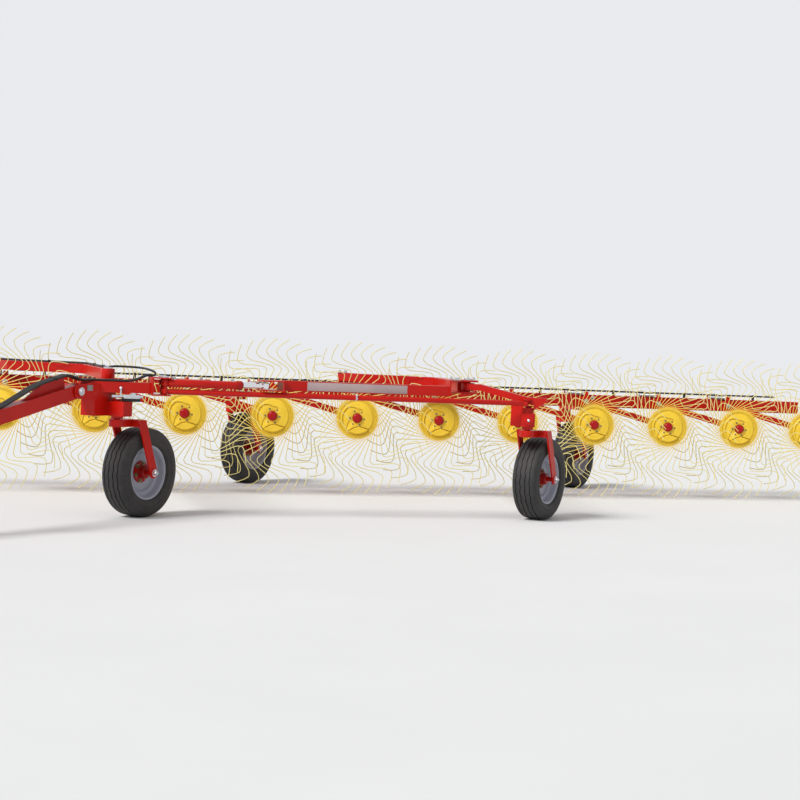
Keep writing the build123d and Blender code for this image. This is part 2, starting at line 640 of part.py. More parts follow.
def drawbar():
    """The sloping drawbar, its hitch clevis and the jack."""
    pivot = carriage_place()
    clevis_x = -HITCH_NECK
    bore_r = DRAWBAR_PIN_R + RUNNING_CLEARANCE
    beam = bar(pivot, Vector(0, 0, 0), DRAWBAR_W, DRAWBAR_H)
    beam += Pos(pivot) * Rot(90, 0, 0) * Cylinder(DRAWBAR_BOSS_R, DRAWBAR_W)
    beam -= Pos(pivot) * Rot(90, 0, 0) * Cylinder(bore_r, DRAWBAR_W)
    high = (Align.MIN, Align.CENTER, Align.CENTER)
    beam -= Pos(clevis_x, 0, 0) * Box(HITCH_REACH, HITCH_REACH, HITCH_REACH, align=high)
    way = Vector(HITCH_REACH, 0, HITCH_HEIGHT - DRAWBAR_PIVOT_H)
    side_plane = Plane(origin=pivot, x_dir=way, z_dir=(0, -1, 0))
    rib_high = DRAWBAR_H / 2 + RIB_H
    rib = [(RIB_START, 0), (RIB_START, rib_high), (RIB_TOP, rib_high), (RIB_END, 0)]
    rib_face = make_face(Polyline(*rib, close=True))
    beam += side_plane.location * extrude(rib_face, amount=RIB_THICK / 2, both=True)
    jack = jack_pivot()
    mount_end = JACK_Y - JACK_R
    beam += rod(Vector(jack.X, 0, jack.Z), Vector(jack.X, mount_end, jack.Z), JACK_PIN_R)
    keep("drawbar", beam)
    gap = HITCH_GAP / 2
    clevis = Pos(clevis_x, 0, 0) * Box(
        HITCH_NECK - HITCH_EAR_R - SWING_GAP, 2 * HITCH_EAR_R, HITCH_GAP + 2 * HITCH_EAR, align=high
    )
    for sign in (-1, 1):
        z = sign * (gap + HITCH_EAR / 2)
        clevis += Pos(clevis_x, 0, z) * Box(HITCH_NECK, 2 * HITCH_EAR_R, HITCH_EAR, align=high)
        clevis += Pos(0, 0, z) * Cylinder(HITCH_EAR_R, HITCH_EAR)
    clevis -= Cylinder(HITCH_BORE_R, 2 * HITCH_NECK)
    keep("hitch_clevis", clevis)
    low = (Align.CENTER, Align.CENTER, Align.MIN)
    ground = -HITCH_HEIGHT
    tube_low = jack.Z - JACK_TUBE_DOWN
    tube = Pos(jack.X, JACK_Y, tube_low) * Cylinder(JACK_R, JACK_TUBE_DOWN + JACK_TUBE_UP, align=low)
    boss_start = DRAWBAR_W / 2 + PIVOT_GAP
    tube += rod(Vector(jack.X, boss_start, jack.Z), Vector(jack.X, JACK_Y, jack.Z), JACK_R)
    hole_end = JACK_Y - JACK_R + PIVOT_GAP
    hole_r = JACK_PIN_R + RUNNING_CLEARANCE
    tube -= rod(Vector(jack.X, boss_start, jack.Z), Vector(jack.X, hole_end, jack.Z), hole_r)
    keep("jack_tube", tube)
    leg = Pos(jack.X, JACK_Y, ground + JACK_FOOT_PLATE) * Cylinder(
        JACK_LEG_R, tube_low - ground - JACK_FOOT_PLATE, align=low
    )
    leg += Pos(jack.X, JACK_Y, ground) * Box(JACK_FOOT, JACK_FOOT, JACK_FOOT_PLATE, align=low)
    keep("jack_leg", leg)


def jack_pivot():
    """Where the jack's pin crosses the drawbar's centre line."""
    drop = (DRAWBAR_PIVOT_H - HITCH_HEIGHT) * JACK_X / HITCH_REACH
    return Vector(JACK_X - HITCH_REACH, 0, DRAWBAR_PIVOT_H - HITCH_HEIGHT - drop)


def hose(points):
    """A round hose through a row of points, straight between bends that use most of the room."""
    start = points[0]
    edges = []
    for before, corner, after in zip(points, points[1:], points[2:]):
        way_in, way_out = corner - before, after - corner
        reach = min(HOSE_REACH, HOSE_BEND * way_in.length, HOSE_BEND * way_out.length)
        bend_start = corner - way_in.normalized() * reach
        bend_end = corner + way_out.normalized() * reach
        edges.append(Line(start, bend_start))
        edges.append(TangentArc(bend_start, bend_end, tangent=way_in))
        start = bend_end
    edges.append(Line(start, points[-1]))
    section = Plane(origin=points[0], z_dir=points[1] - points[0]) * Circle(HOSE_R)
    return sweep(section, path=Wire(edges))


def hoses():
    """The hoses on the drawbar, on the carriage and along the frame, each set with its straps."""
    pivot = carriage_place()
    spread = [(index - (HOSE_COUNT - 1) / 2) * HOSE_PITCH for index in range(HOSE_COUNT)]
    strap_w = HOSE_COUNT * HOSE_PITCH + STRAP_EDGE
    strap_h = HOSE_LIFT + HOSE_R + STRAP_EDGE
    standing = (Align.CENTER, Align.MIN, Align.CENTER)
    side = Plane(origin=pivot, x_dir=Vector(HITCH_REACH, 0, HITCH_HEIGHT - DRAWBAR_PIVOT_H), z_dir=(0, -1, 0))
    bar_top = DRAWBAR_H / 2
    rib_top = bar_top + RIB_H
    outline = [(HOSE_FRONT_T, bar_top + HOSE_LIFT), (HOSE_RISE_T, bar_top + HOSE_LIFT)]
    outline += [(RIB_TOP + HOSE_CREST, rib_top + HOSE_LIFT), (HOSE_REAR_T, rib_top + HOSE_LIFT)]
    bundle = None
    for offset in spread:
        run = hose([side.from_local_coords(Vector(t, up, offset)) for t, up in outline])
        bundle = run if bundle is None else bundle + run
    for t, up in [(t, bar_top) for t in DRAWBAR_STRAPS_T] + [((RIB_START + RIB_TOP) / 2, rib_top)]:
        bundle += side.location * Pos(t, up, 0) * Box(STRAP, strap_h, strap_w, align=standing)
    keep("drawbar_hoses", bundle)

    box_hose_h = BOX_TOP_H + HOSE_LIFT
    flange_top_h = EAR_HIGH_H + EAR_PLATE
    turn_s = DRAWBAR_PIVOT_S + (FRAME_B - DRAWBAR_PIVOT_B) / tan(radians(90 - ROW_ANGLE))
    bundle = None
    for offset in spread:
        corner = at(turn_s, FRAME_B, box_hose_h)
        corner += Vector(-tan(radians(ROW_ANGLE / 2)), -1, 0) * offset
        rise_h = flange_top_h + strap_h - STRAP_EDGE - HOSE_R
        points = [Vector(pivot.X - HOSE_BEHIND_PIVOT, -offset, corner.Z), corner]
        points += [at(HOSE_RISE_S, FRAME_B + offset, box_hose_h)]
        end_b = HOSE_END_B + offset
        points += [at(BOX_END_S - 2 * STRAP, end_b, rise_h), at(HOSE_END_S, end_b, rise_h)]
        run = hose(points)
        bundle = run if bundle is None else bundle + run
    seats = [((turn_s + HOSE_RISE_S) / 2, FRAME_B, BOX_TOP_H)]
    seats += [(BOX_END_S + FLANGE / 2, HOSE_END_B, flange_top_h)]
    for s, b, low_h in seats:
        half_w = strap_w / 2
        sides = [(s - STRAP / 2, b - half_w), (s + STRAP / 2, b - half_w)]
        sides += [(s + STRAP / 2, b + half_w), (s - STRAP / 2, b + half_w)]
        bundle += prism(sides, low_h, low_h + strap_h)
    keep("carriage_hoses", bundle)

    arm_hose_h = CROSS_HIGH_H + HOSE_LIFT
    bar_hose_h = LEVER_TOP_H + HOSE_LIFT
    path = cross_path(SWING_S, 0)
    (far_s, far_b), (end_s, end_b) = path[2:]
    leave_s = far_s + (end_s - far_s) * FRAME_HOSE_LEAVE
    leave_b = far_b + (end_b - far_b) * FRAME_HOSE_LEAVE
    drop_s = leave_s + FRAME_HOSE_OVER
    on_arm = [(SWING_S, FRAME_HOSE_START_B)] + path[1:3] + [(leave_s, leave_b), (drop_s, TOOLBAR_B)]
    foot_s = CROSS_END_S + CROSS_STEP
    on_bar = [(drop_s + FRAME_HOSE_DROP, TOOLBAR_B), (foot_s - DETOUR_START, TOOLBAR_B)]
    on_bar += [(foot_s - DETOUR_HALF, DETOUR_B), (foot_s + DETOUR_HALF, DETOUR_B)]
    on_bar += [(foot_s + DETOUR_START, TOOLBAR_B), (FRAME_HOSE_END_S, TOOLBAR_B)]
    points = [at(s, b, arm_hose_h) for s, b in on_arm] + [at(s, b, bar_hose_h) for s, b in on_bar]
    run = hose(points)
    back_s, back_b = path[1]
    arm_clips = [(SWING_S, b) for b in ARM_CLIPS_B] + [((back_s + far_s) / 2, (back_b + far_b) / 2)]
    for s, b in arm_clips:
        run += pin(s, b, CROSS_HIGH_H, CROSS_HIGH_H + strap_h, CLIP_R)
    clip_s = BAR_CLIP_S
    while clip_s < FRAME_HOSE_END_S:
        run += pin(clip_s, TOOLBAR_B, TOOLBAR_TOP_H, LEVER_TOP_H + strap_h, CLIP_R)
        clip_s += WHEEL_PITCH
    keep("frame_hose", run)


def link_eye(s, b, h, radius, depth):
    """A flat round eye with its pin hole."""
    eye = pin(s, b, h - depth / 2, h + depth / 2, radius)
    return eye - pin(s, b, h - depth / 2, h + depth / 2, LINK_PIN_R + RUNNING_CLEARANCE)


def links():
    """The steering tie and the two cylinders, each cylinder as barrel and rod."""
    start_s = EAR_S + LINK_PIN_R + FLANGE / 2
    tie_end_s = EAR_S + LEFT_SWING_OFFSET
    tie = rod(at(start_s, EAR_B, TIE_H), at(tie_end_s - LINK_PIN_R - FLANGE / 2, EAR_B, TIE_H), TIE_R)
    tie -= pin(EAR_S, EAR_B, TIE_H - TIE_R, TIE_H + TIE_R, LINK_PIN_R + FLANGE)
    for s in (EAR_S, tie_end_s):
        tie += link_eye(s, EAR_B, TIE_H, TIE_EYE_R, TIE_EYE_H)
        tie -= pin(s, EAR_B, TIE_H - TIE_R, TIE_H + TIE_R, LINK_PIN_R + RUNNING_CLEARANCE)
    keep("steering_tie", tie)
    stroke_room = ROD_R * 3
    for name, b, barrel_end_s, sleeve_s in (
        ("front_cylinder", EAR_B, FRONT_BARREL_END_S, None),
        ("rear_cylinder", REAR_CYL_B, REAR_BARREL_END_S, REAR_SLEEVE_START_S),
    ):
        barrel = rod(at(start_s, b, CYL_H), at(barrel_end_s, b, CYL_H), BARREL_R)
        barrel += link_eye(EAR_S, b, CYL_H, CYL_EYE_R, CYL_EYE_H)
        barrel -= pin(EAR_S, b, CYL_H - BARREL_R, CYL_H + BARREL_R, LINK_PIN_R + RUNNING_CLEARANCE)
        bore_r = ROD_R + RUNNING_CLEARANCE
        bore_start_s = start_s + stroke_room
        barrel -= rod(at(bore_start_s, b, CYL_H), at(barrel_end_s, b, CYL_H), bore_r)
        keep(f"{name}_barrel", barrel)
        rod_start_s = bore_start_s + ROD_TRAVEL
        piston_rod = rod(at(rod_start_s, b, CYL_H), at(EYE_S - LINK_PIN_R, b, CYL_H), ROD_R)
        if sleeve_s is not None:
            piston_rod += rod(at(sleeve_s, b, CYL_H), at(EYE_S - CYL_EYE_R, b, CYL_H), BARREL_R - FLANGE / 2)
        piston_rod += link_eye(EYE_S, b, CYL_H, CYL_EYE_R, CYL_EYE_H)
        piston_rod -= pin(EYE_S, b, CYL_H - BARREL_R, CYL_H + BARREL_R, LINK_PIN_R + RUNNING_CLEARANCE)
        keep(f"{name}_rod", piston_rod)


def left_arm():
    """The swinging arm of the left front caster, with its head tube and tie lug."""
    swing_s = SWING_S + LEFT_SWING_OFFSET
    boss_low_h = CROSS_LOW_H + BOSS_GAP
    boss_high_h = CROSS_HIGH_H - BOSS_GAP
    centre_h = (boss_low_h + boss_high_h) / 2
    pivot = at(swing_s, SWING_B, centre_h)
    head = at(LEFT_CASTER_S, FRAME_B, LEFT_ARM_END_H)
    flat_axis = Vector(head.X - pivot.X, head.Y - pivot.Y, 0).normalized()
    across = UP.cross(flat_axis)
    shoulder = pivot + flat_axis * LEFT_ARM_LEVEL
    root_w = SWING_BOSS_R + CROSS_W / 2
    root_h = boss_high_h - boss_low_h - 2 * BOSS_GAP
    root = Plane(origin=shoulder, x_dir=across, z_dir=flat_axis) * Rectangle(root_w, root_h)
    tip = Plane(origin=head, x_dir=across, z_dir=flat_axis) * Rectangle(LEFT_ARM_TIP, LEFT_ARM_TIP)
    arm = loft([root, tip]) + bar(pivot, shoulder, root_w, root_h)
    side = Plane(origin=head, x_dir=flat_axis, z_dir=across * -1)
    tip_half = LEFT_ARM_TIP / 2
    nose = [(0, tip_half), (NOSE_L, tip_half), (NOSE_L, tip_half - NOSE_TIP)]
    nose += [(PIN_HEAD_R + FLANGE, -tip_half - NOSE_DROP), (PIN_HEAD_R + FLANGE, -tip_half), (0, -tip_half)]
    nose_face = make_face(Polyline(*nose, close=True))
    arm += side.location * extrude(nose_face, amount=tip_half, both=True)
    arm += pin(swing_s, SWING_B, boss_low_h, boss_high_h, SWING_BOSS_R)
    arm -= pin(swing_s, SWING_B, boss_low_h, boss_high_h, SWING_PIN_R + RUNNING_CLEARANCE)
    foot = at(LEFT_CASTER_S, FRAME_B, HEAD_LOW_H)
    tube = rod(foot, at(LEFT_CASTER_S, FRAME_B, HEAD_HIGH_H), HEAD_R)
    web_low = foot - flat_axis * (HEAD_R + WEB_LENGTH / 2 - FLANGE / 2) + UP * FLANGE * 2
    web_high = web_low + UP * (LEFT_ARM_END_H - HEAD_LOW_H - FLANGE * 2)
    web_plane = Plane(origin=web_low, x_dir=flat_axis, z_dir=UP)
    low = (Align.CENTER, Align.CENTER, Align.MIN)
    web = web_plane.location * Box(WEB_LENGTH, FORK_PLATE, (web_high - web_low).length, align=low)
    arm += [tube, web]
    head_plane = Plane(origin=at(LEFT_CASTER_S, FRAME_B, HEAD_BLOCK_LOW_H), x_dir=FACE_DIR, z_dir=UP)
    block = head_plane.location * Box(HEAD_BLOCK, HEAD_BLOCK, HEAD_BLOCK, align=low)
    arm += fillet(block.edges().filter_by(Axis.Z), FLANGE)
    boss_start = at(LEFT_CASTER_S, FRAME_B, HEAD_BLOCK_LOW_H + HEAD_BLOCK / 2)
    arm += rod(boss_start, boss_start + FACE_DIR * (HEAD_BLOCK / 2 + HEAD_BOSS), HEAD_BOSS_R)
    ring_low_h = HEAD_BLOCK_LOW_H + HEAD_BLOCK + HEAD_RING
    for index in range(HEAD_RING_COUNT):
        ring_h = ring_low_h + index * HEAD_RING_PITCH
        arm += pin(LEFT_CASTER_S, FRAME_B, ring_h, ring_h + HEAD_RING, HEAD_R + HEAD_RING)
    arm -= rod(foot, at(LEFT_CASTER_S, FRAME_B, HEAD_HIGH_H), KINGPIN_R + RUNNING_CLEARANCE)
    tie_s = EAR_S + LEFT_SWING_OFFSET
    lug_low_h = TIE_H + TIE_EYE_H / 2 + ARM_END_GAP
    lug = [(tie_s - TIE_EYE_R, EAR_B - TIE_EYE_R), (tie_s + TIE_EYE_R, EAR_B - TIE_EYE_R)]
    lug += [(LEFT_CASTER_S + HEAD_R, FRAME_B), (LEFT_CASTER_S, FRAME_B + HEAD_R)]
    lug += [(tie_s - TIE_EYE_R, FRAME_B)]
    arm += prism(lug, lug_low_h, lug_low_h + FLANGE)
    pin_low_h = TIE_H - TIE_EYE_H / 2 - ARM_END_GAP
    arm += pin(tie_s, EAR_B, pin_low_h, lug_low_h + FLANGE, LINK_PIN_R)
    keep("left_arm", arm)


def rear_heads():
    """The two brackets behind the toolbar that carry the rear casters."""
    heads = []
    start_b = TOOLBAR_B + TOOLBAR_SIZE / 2
    for s in REAR_CASTER_S:
        neck = bar(at(s, start_b, REAR_NECK_H), at(s, REAR_CASTER_B, REAR_NECK_H), CROSS_W, CROSS_W)
        neck += pin(s, REAR_CASTER_B, HEAD_LOW_H, HEAD_HIGH_H, REAR_HEAD_R)
        neck -= pin(s, REAR_CASTER_B, HEAD_LOW_H, HEAD_HIGH_H, KINGPIN_R + RUNNING_CLEARANCE)
        heads.append(neck)
    keep("rear_heads", *heads)


def caster(name, s, b, head_high_h):
    """A trailing caster: fork with kingpin and axle, rim and tyre."""
    foot = at(s, b, 0)
    place = Pos(foot.X, foot.Y, foot.Z)
    crown_start = -CASTER_TRAIL / 2 - FORK_W / 3
    crown_h = CROWN_HIGH_H - CROWN_LOW_H
    low = (Align.MIN, Align.CENTER, Align.MIN)
    crown_length = CROWN_FRONT - crown_start
    fork = Pos(crown_start, 0, CROWN_LOW_H) * Box(crown_length, 2 * FORK_INSIDE, crown_h, align=low)
    fork += Pos(CROWN_FRONT, 0, CROWN_LOW_H) * Box(-CROWN_FRONT, 2 * TONGUE_R, crown_h, align=low)
    standing = (Align.CENTER, Align.CENTER, Align.MIN)
    fork += Pos(0, 0, CROWN_LOW_H) * Cylinder(TONGUE_R, crown_h, align=standing)
    half = FORK_W / 2
    leg_outline = [
        (crown_start + FORK_W, CROWN_HIGH_H),
        (crown_start, CROWN_HIGH_H),
        (-CASTER_TRAIL - half, TYRE_R),
        (-CASTER_TRAIL + half, TYRE_R),
    ]
    for side in (FORK_INSIDE, -FORK_INSIDE - FORK_PLATE):
        corners = [Vector(x, side, h) for x, h in leg_outline]
        leg = extrude(make_face(Polyline(*corners, close=True)), amount=FORK_PLATE, dir=(0, 1, 0))
        fork += leg
    pin_length = head_high_h + ARM_END_GAP - CROWN_LOW_H
    fork += Pos(0, 0, CROWN_LOW_H) * Cylinder(KINGPIN_R, pin_length, align=standing)
    fork += Pos(0, 0, head_high_h + ARM_END_GAP) * Cylinder(PIN_HEAD_R, PIN_HEAD, align=standing)
    axle_length = 2 * (FORK_INSIDE + FORK_PLATE + PIN_HEAD)
    axle_place = Pos(-CASTER_TRAIL, 0, TYRE_R) * Rot(90, 0, 0)
    for side in (-1, 1):
        eye = axle_place * Pos(0, 0, side * (FORK_INSIDE + FORK_PLATE / 2))
        fork += eye * Cylinder(half, FORK_PLATE)
    fork += axle_place * Cylinder(AXLE_R, axle_length)
    keep(f"{name}_fork", place * fork)
    keep(f"{name}_rim", place * axle_place * wheel_rim())
    keep(f"{name}_tyre", place * axle_place * tyre())


def wheel_rim():
    """Rim with drop centre, disc and hub, turned about Z."""
    outside = BEAD_HALF + RIM_LIP
    seat_r = BEAD_R - SEAT_GAP
    barrel = [
        (seat_r - RIM_LIP, -outside),
        (RIM_R, -outside),
        (RIM_R, -BEAD_HALF - SEAT_GAP),
        (seat_r, -BEAD_HALF - SEAT_GAP),
        (seat_r, BEAD_HALF + SEAT_GAP),
        (RIM_R, BEAD_HALF + SEAT_GAP),
        (RIM_R, outside),
        (seat_r - RIM_LIP, outside),
    ]
    well_r = seat_r - RIM_LIP / 2
    half_disc = RIM_DISC / 2
    step_out_r = RIM_STEP_R + RIM_DISC
    disc = [
        (AXLE_R + RUNNING_CLEARANCE, -HUB_HALF),
        (HUB_DRUM_R, -HUB_HALF),
        (HUB_DRUM_R, -half_disc),
        (RIM_STEP_R, -half_disc),
        (step_out_r, RIM_STEP - half_disc),
        (well_r, RIM_STEP - half_disc),
        (well_r, RIM_STEP + half_disc),
        (RIM_STEP_R, RIM_STEP + half_disc),
        (RIM_STEP_R - RIM_DISC, half_disc),
        (HUB_PLATE_R, half_disc),
        (HUB_PLATE_R, half_disc + HUB_PLATE),
        (HUB_DRUM_R, half_disc + HUB_PLATE),
        (HUB_DRUM_R, HUB_HALF),
        (AXLE_R + RUNNING_CLEARANCE, HUB_HALF),
    ]
    body = None
    for profile in (barrel, disc):
        face = make_face(Polyline(*[(r, 0, z) for r, z in profile], close=True))
        ring = revolve(face, axis=Axis.Z)
        body = ring if body is None else body + ring
    return body


def tyre():
    """Plain tyre with bulged sides, turned in flats fine enough to read as round, about Z."""
    half = [(TREAD_HALF, TYRE_R), (SHOULDER_HALF, SHOULDER_R)]
    half += [(TYRE_W / 2, SIDE_R), (BEAD_HALF, RIM_R + RIM_LIP)]
    stations = [(-z, r) for z, r in half[::-1]] + half
    rings = [Pos(0, 0, z) * RegularPolygon(r, TYRE_FLATS) for z, r in stations]
    bead = Pos(0, 0, -BEAD_HALF) * extrude(RegularPolygon(BEAD_R, TYRE_FLATS), 2 * BEAD_HALF)
    return loft(rings, ruled=True) - bead


def casters():
    """The four casters, by place."""
    caster("right_front", RIGHT_CASTER_S, FRAME_B, HOUSING_HIGH_H)
    caster("left_front", LEFT_CASTER_S, FRAME_B, HEAD_HIGH_H)
    for name, s in zip(("right_rear", "left_rear"), REAR_CASTER_S):
        caster(name, s, REAR_CASTER_B, HEAD_HIGH_H)


finger_wheels()
toolbar()
wheel_arms()
arm_springs()
crossing_arms()
front_beam()
carriage()
drawbar()
hoses()
links()
left_arm()
rear_heads()
casters()

os.makedirs("parts", exist_ok=True)
for name, solids in PARTS.items():
    shape = solids[0] if len(solids) == 1 else Compound(children=solids)
    export_step(shape, f"parts/{name}.step")
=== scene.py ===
"""Looks of a trailed wheel rake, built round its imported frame."""

import json
import logging
import math
from dataclasses import dataclass, field
from enum import Enum
from itertools import product
from typing import Optional, Sequence, Union

import bmesh
import bpy
from mathutils import Matrix, Vector

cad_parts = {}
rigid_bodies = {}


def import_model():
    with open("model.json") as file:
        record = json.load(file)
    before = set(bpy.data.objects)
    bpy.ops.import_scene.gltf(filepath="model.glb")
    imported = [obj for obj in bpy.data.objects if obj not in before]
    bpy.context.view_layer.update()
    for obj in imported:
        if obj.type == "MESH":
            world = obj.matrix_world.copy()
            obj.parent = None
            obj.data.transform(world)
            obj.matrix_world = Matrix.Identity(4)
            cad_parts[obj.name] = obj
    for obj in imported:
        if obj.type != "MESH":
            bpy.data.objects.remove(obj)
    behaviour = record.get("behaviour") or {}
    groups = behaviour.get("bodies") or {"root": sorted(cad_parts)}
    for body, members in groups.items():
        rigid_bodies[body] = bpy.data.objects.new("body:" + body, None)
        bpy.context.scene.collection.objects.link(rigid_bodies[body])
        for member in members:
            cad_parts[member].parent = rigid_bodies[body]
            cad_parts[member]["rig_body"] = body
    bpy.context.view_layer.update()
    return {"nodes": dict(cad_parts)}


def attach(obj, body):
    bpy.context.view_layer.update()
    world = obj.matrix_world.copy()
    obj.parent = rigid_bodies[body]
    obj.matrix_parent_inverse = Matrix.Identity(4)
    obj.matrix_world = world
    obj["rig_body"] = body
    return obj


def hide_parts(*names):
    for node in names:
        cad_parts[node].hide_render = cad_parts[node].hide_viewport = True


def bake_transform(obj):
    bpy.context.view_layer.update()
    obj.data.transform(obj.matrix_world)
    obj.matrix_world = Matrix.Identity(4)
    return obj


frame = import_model()
LOG = logging.getLogger("wheel_rake")

Pair = tuple[float, float]
Triple = tuple[float, float, float]
Colour = Triple
Profile = Sequence[Pair]

FULL_TURN = math.tau
MICRO = 1e-6

# The row's own frame: s along the row, b behind it, h above the ground, in metres
HITCH_HEIGHT = 0.45
ROW_TURN = math.radians(43)
ROW_DIR = Vector((-math.cos(ROW_TURN), math.sin(ROW_TURN), 0))
BACK_DIR = Vector((-math.sin(ROW_TURN), -math.cos(ROW_TURN), 0))
UP = Vector((0, 0, 1))
POST = Vector((-2.2, 0, 0))
POST_S, POST_B = -0.39, -2.09
ROW_ZERO = POST - ROW_DIR * POST_S - BACK_DIR * POST_B
PLANE_SKEW = math.radians(17.9)
PLANE_DIR = ROW_DIR * math.cos(PLANE_SKEW) - BACK_DIR * math.sin(PLANE_SKEW)
FACE_DIR = -(ROW_DIR * math.sin(PLANE_SKEW) + BACK_DIR * math.cos(PLANE_SKEW))


def at(s: float, b: float, h: float) -> Vector:
    """Place a point of the row's frame in the machine's frame.

    Args:
        s: Distance along the row from the second wheel.
        b: Distance behind the row.
        h: Height above the ground.

    Returns:
        The point in metres.
    """
    return ROW_ZERO + ROW_DIR * s + BACK_DIR * b + UP * (h - HITCH_HEIGHT)


def axes_at(origin: Vector, z_axis: Vector, x_axis: Vector) -> Matrix:
    """Build the placing matrix of a local frame.

    Args:
        origin: Where the local origin goes.
        z_axis: Where local Z points.
        x_axis: Roughly where local X points; it is squared up against local Z.

    Returns:
        The matrix that takes local points to the machine's frame.
    """
    z_unit = z_axis.normalized()
    y_unit = z_unit.cross(x_axis).normalized()
    x_unit = y_unit.cross(z_unit)
    rotation = Matrix((x_unit, y_unit, z_unit)).transposed().to_4x4()
    return Matrix.Translation(origin) @ rotation


def upright(origin: Vector) -> Matrix:
    """Place a local frame with Z up and X along the row."""
    return axes_at(origin, UP, ROW_DIR)


def facing(origin: Vector, z_axis: Vector) -> Matrix:
    """Place a local frame by its level Z axis, with X level too."""
    return axes_at(origin, z_axis, UP.cross(z_axis))


def turned(place: Matrix) -> Matrix:
    """Turn a local frame half round its X, so that Z points the other way."""
    return place @ Matrix.Rotation(math.pi, 4, "X")


def round_angles(count: int, first: float = 0.0) -> list[float]:
    """List even angles round a full turn."""
    return [first + FULL_TURN * i / count for i in range(count)]


def round_point(radius: float, angle: float, height: float) -> Vector:
    """Give a point by its radius and angle about local Z."""
    return Vector((radius * math.cos(angle), radius * math.sin(angle), height))


def smooth_path(points: Sequence[Vector], steps: int) -> list[Vector]:
    """Run a smooth line through points.

    Args:
        points: Points that the line passes.
        steps: Pieces between two points.

    Returns:
        Points along the line.
    """
    ends = [points[0] * 2 - points[1], *points, points[-1] * 2 - points[-2]]
    line = []
    for a, b, c, d in zip(ends, ends[1:], ends[2:], ends[3:]):
        for step in range(steps):
            t = step / steps
            pull = (c - a) * t + (a * 2 - b * 5 + c * 4 - d) * t**2
            line.append(b + (pull + (b * 3 - a - c * 3 + d) * t**3) / 2)
    return [*line, points[-1]]


class Slot(Enum):
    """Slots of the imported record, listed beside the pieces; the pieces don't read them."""

    FRAME_RED = "frame_red"
    ARM_RED = "arm_red"
    ZINC = "zinc"
    JACK_BLACK = "jack_black"
    RIM_SILVER = "rim_silver"
    TYRE = "tyre"
    TINE_YELLOW = "tine_yellow"
    HOSE = "hose"


class Wire:
    """A shader socket whose arithmetic adds Math nodes."""

    def __init__(self, graph: "Graph", socket: bpy.types.NodeSocket) -> None:
        """Keep the socket and the graph it belongs to."""
        self.graph = graph
        self.socket = socket

    def math(self, operation: str, *others: Union["Wire", float], clamp: bool = False) -> "Wire":
        """Apply one Math operation to this value.

        Args:
            operation: Name of the Math operation.
            others: The further operands.
            clamp: Whether the result is held between 0 and 1.

        Returns:
            The result.
        """
        settings = {"operation": operation, "use_clamp": clamp}
        return self.graph.add("ShaderNodeMath", settings, dict(enumerate((self, *others))))

    def __add__(self, other: Union["Wire", float]) -> "Wire":
        """Add a value on either side."""
        return self.math("ADD", other)

    def __sub__(self, other: Union["Wire", float]) -> "Wire":
        """Take a value away."""
        return self.math("SUBTRACT", other)

    def __rsub__(self, other: float) -> "Wire":
        """Take this from a number."""
        return self * -1.0 + other

    def __mul__(self, other: Union["Wire", float]) -> "Wire":
        """Multiply by a value on either side."""
        return self.math("MULTIPLY", other)

    __radd__ = __add__
    __rmul__ = __mul__

    def over(self, low: float, high: float) -> "Wire":
        """Ramp from 0 at one value to 1 at another."""
        return ((self - low) * (1 / (high - low))).math("ADD", 0.0, clamp=True)


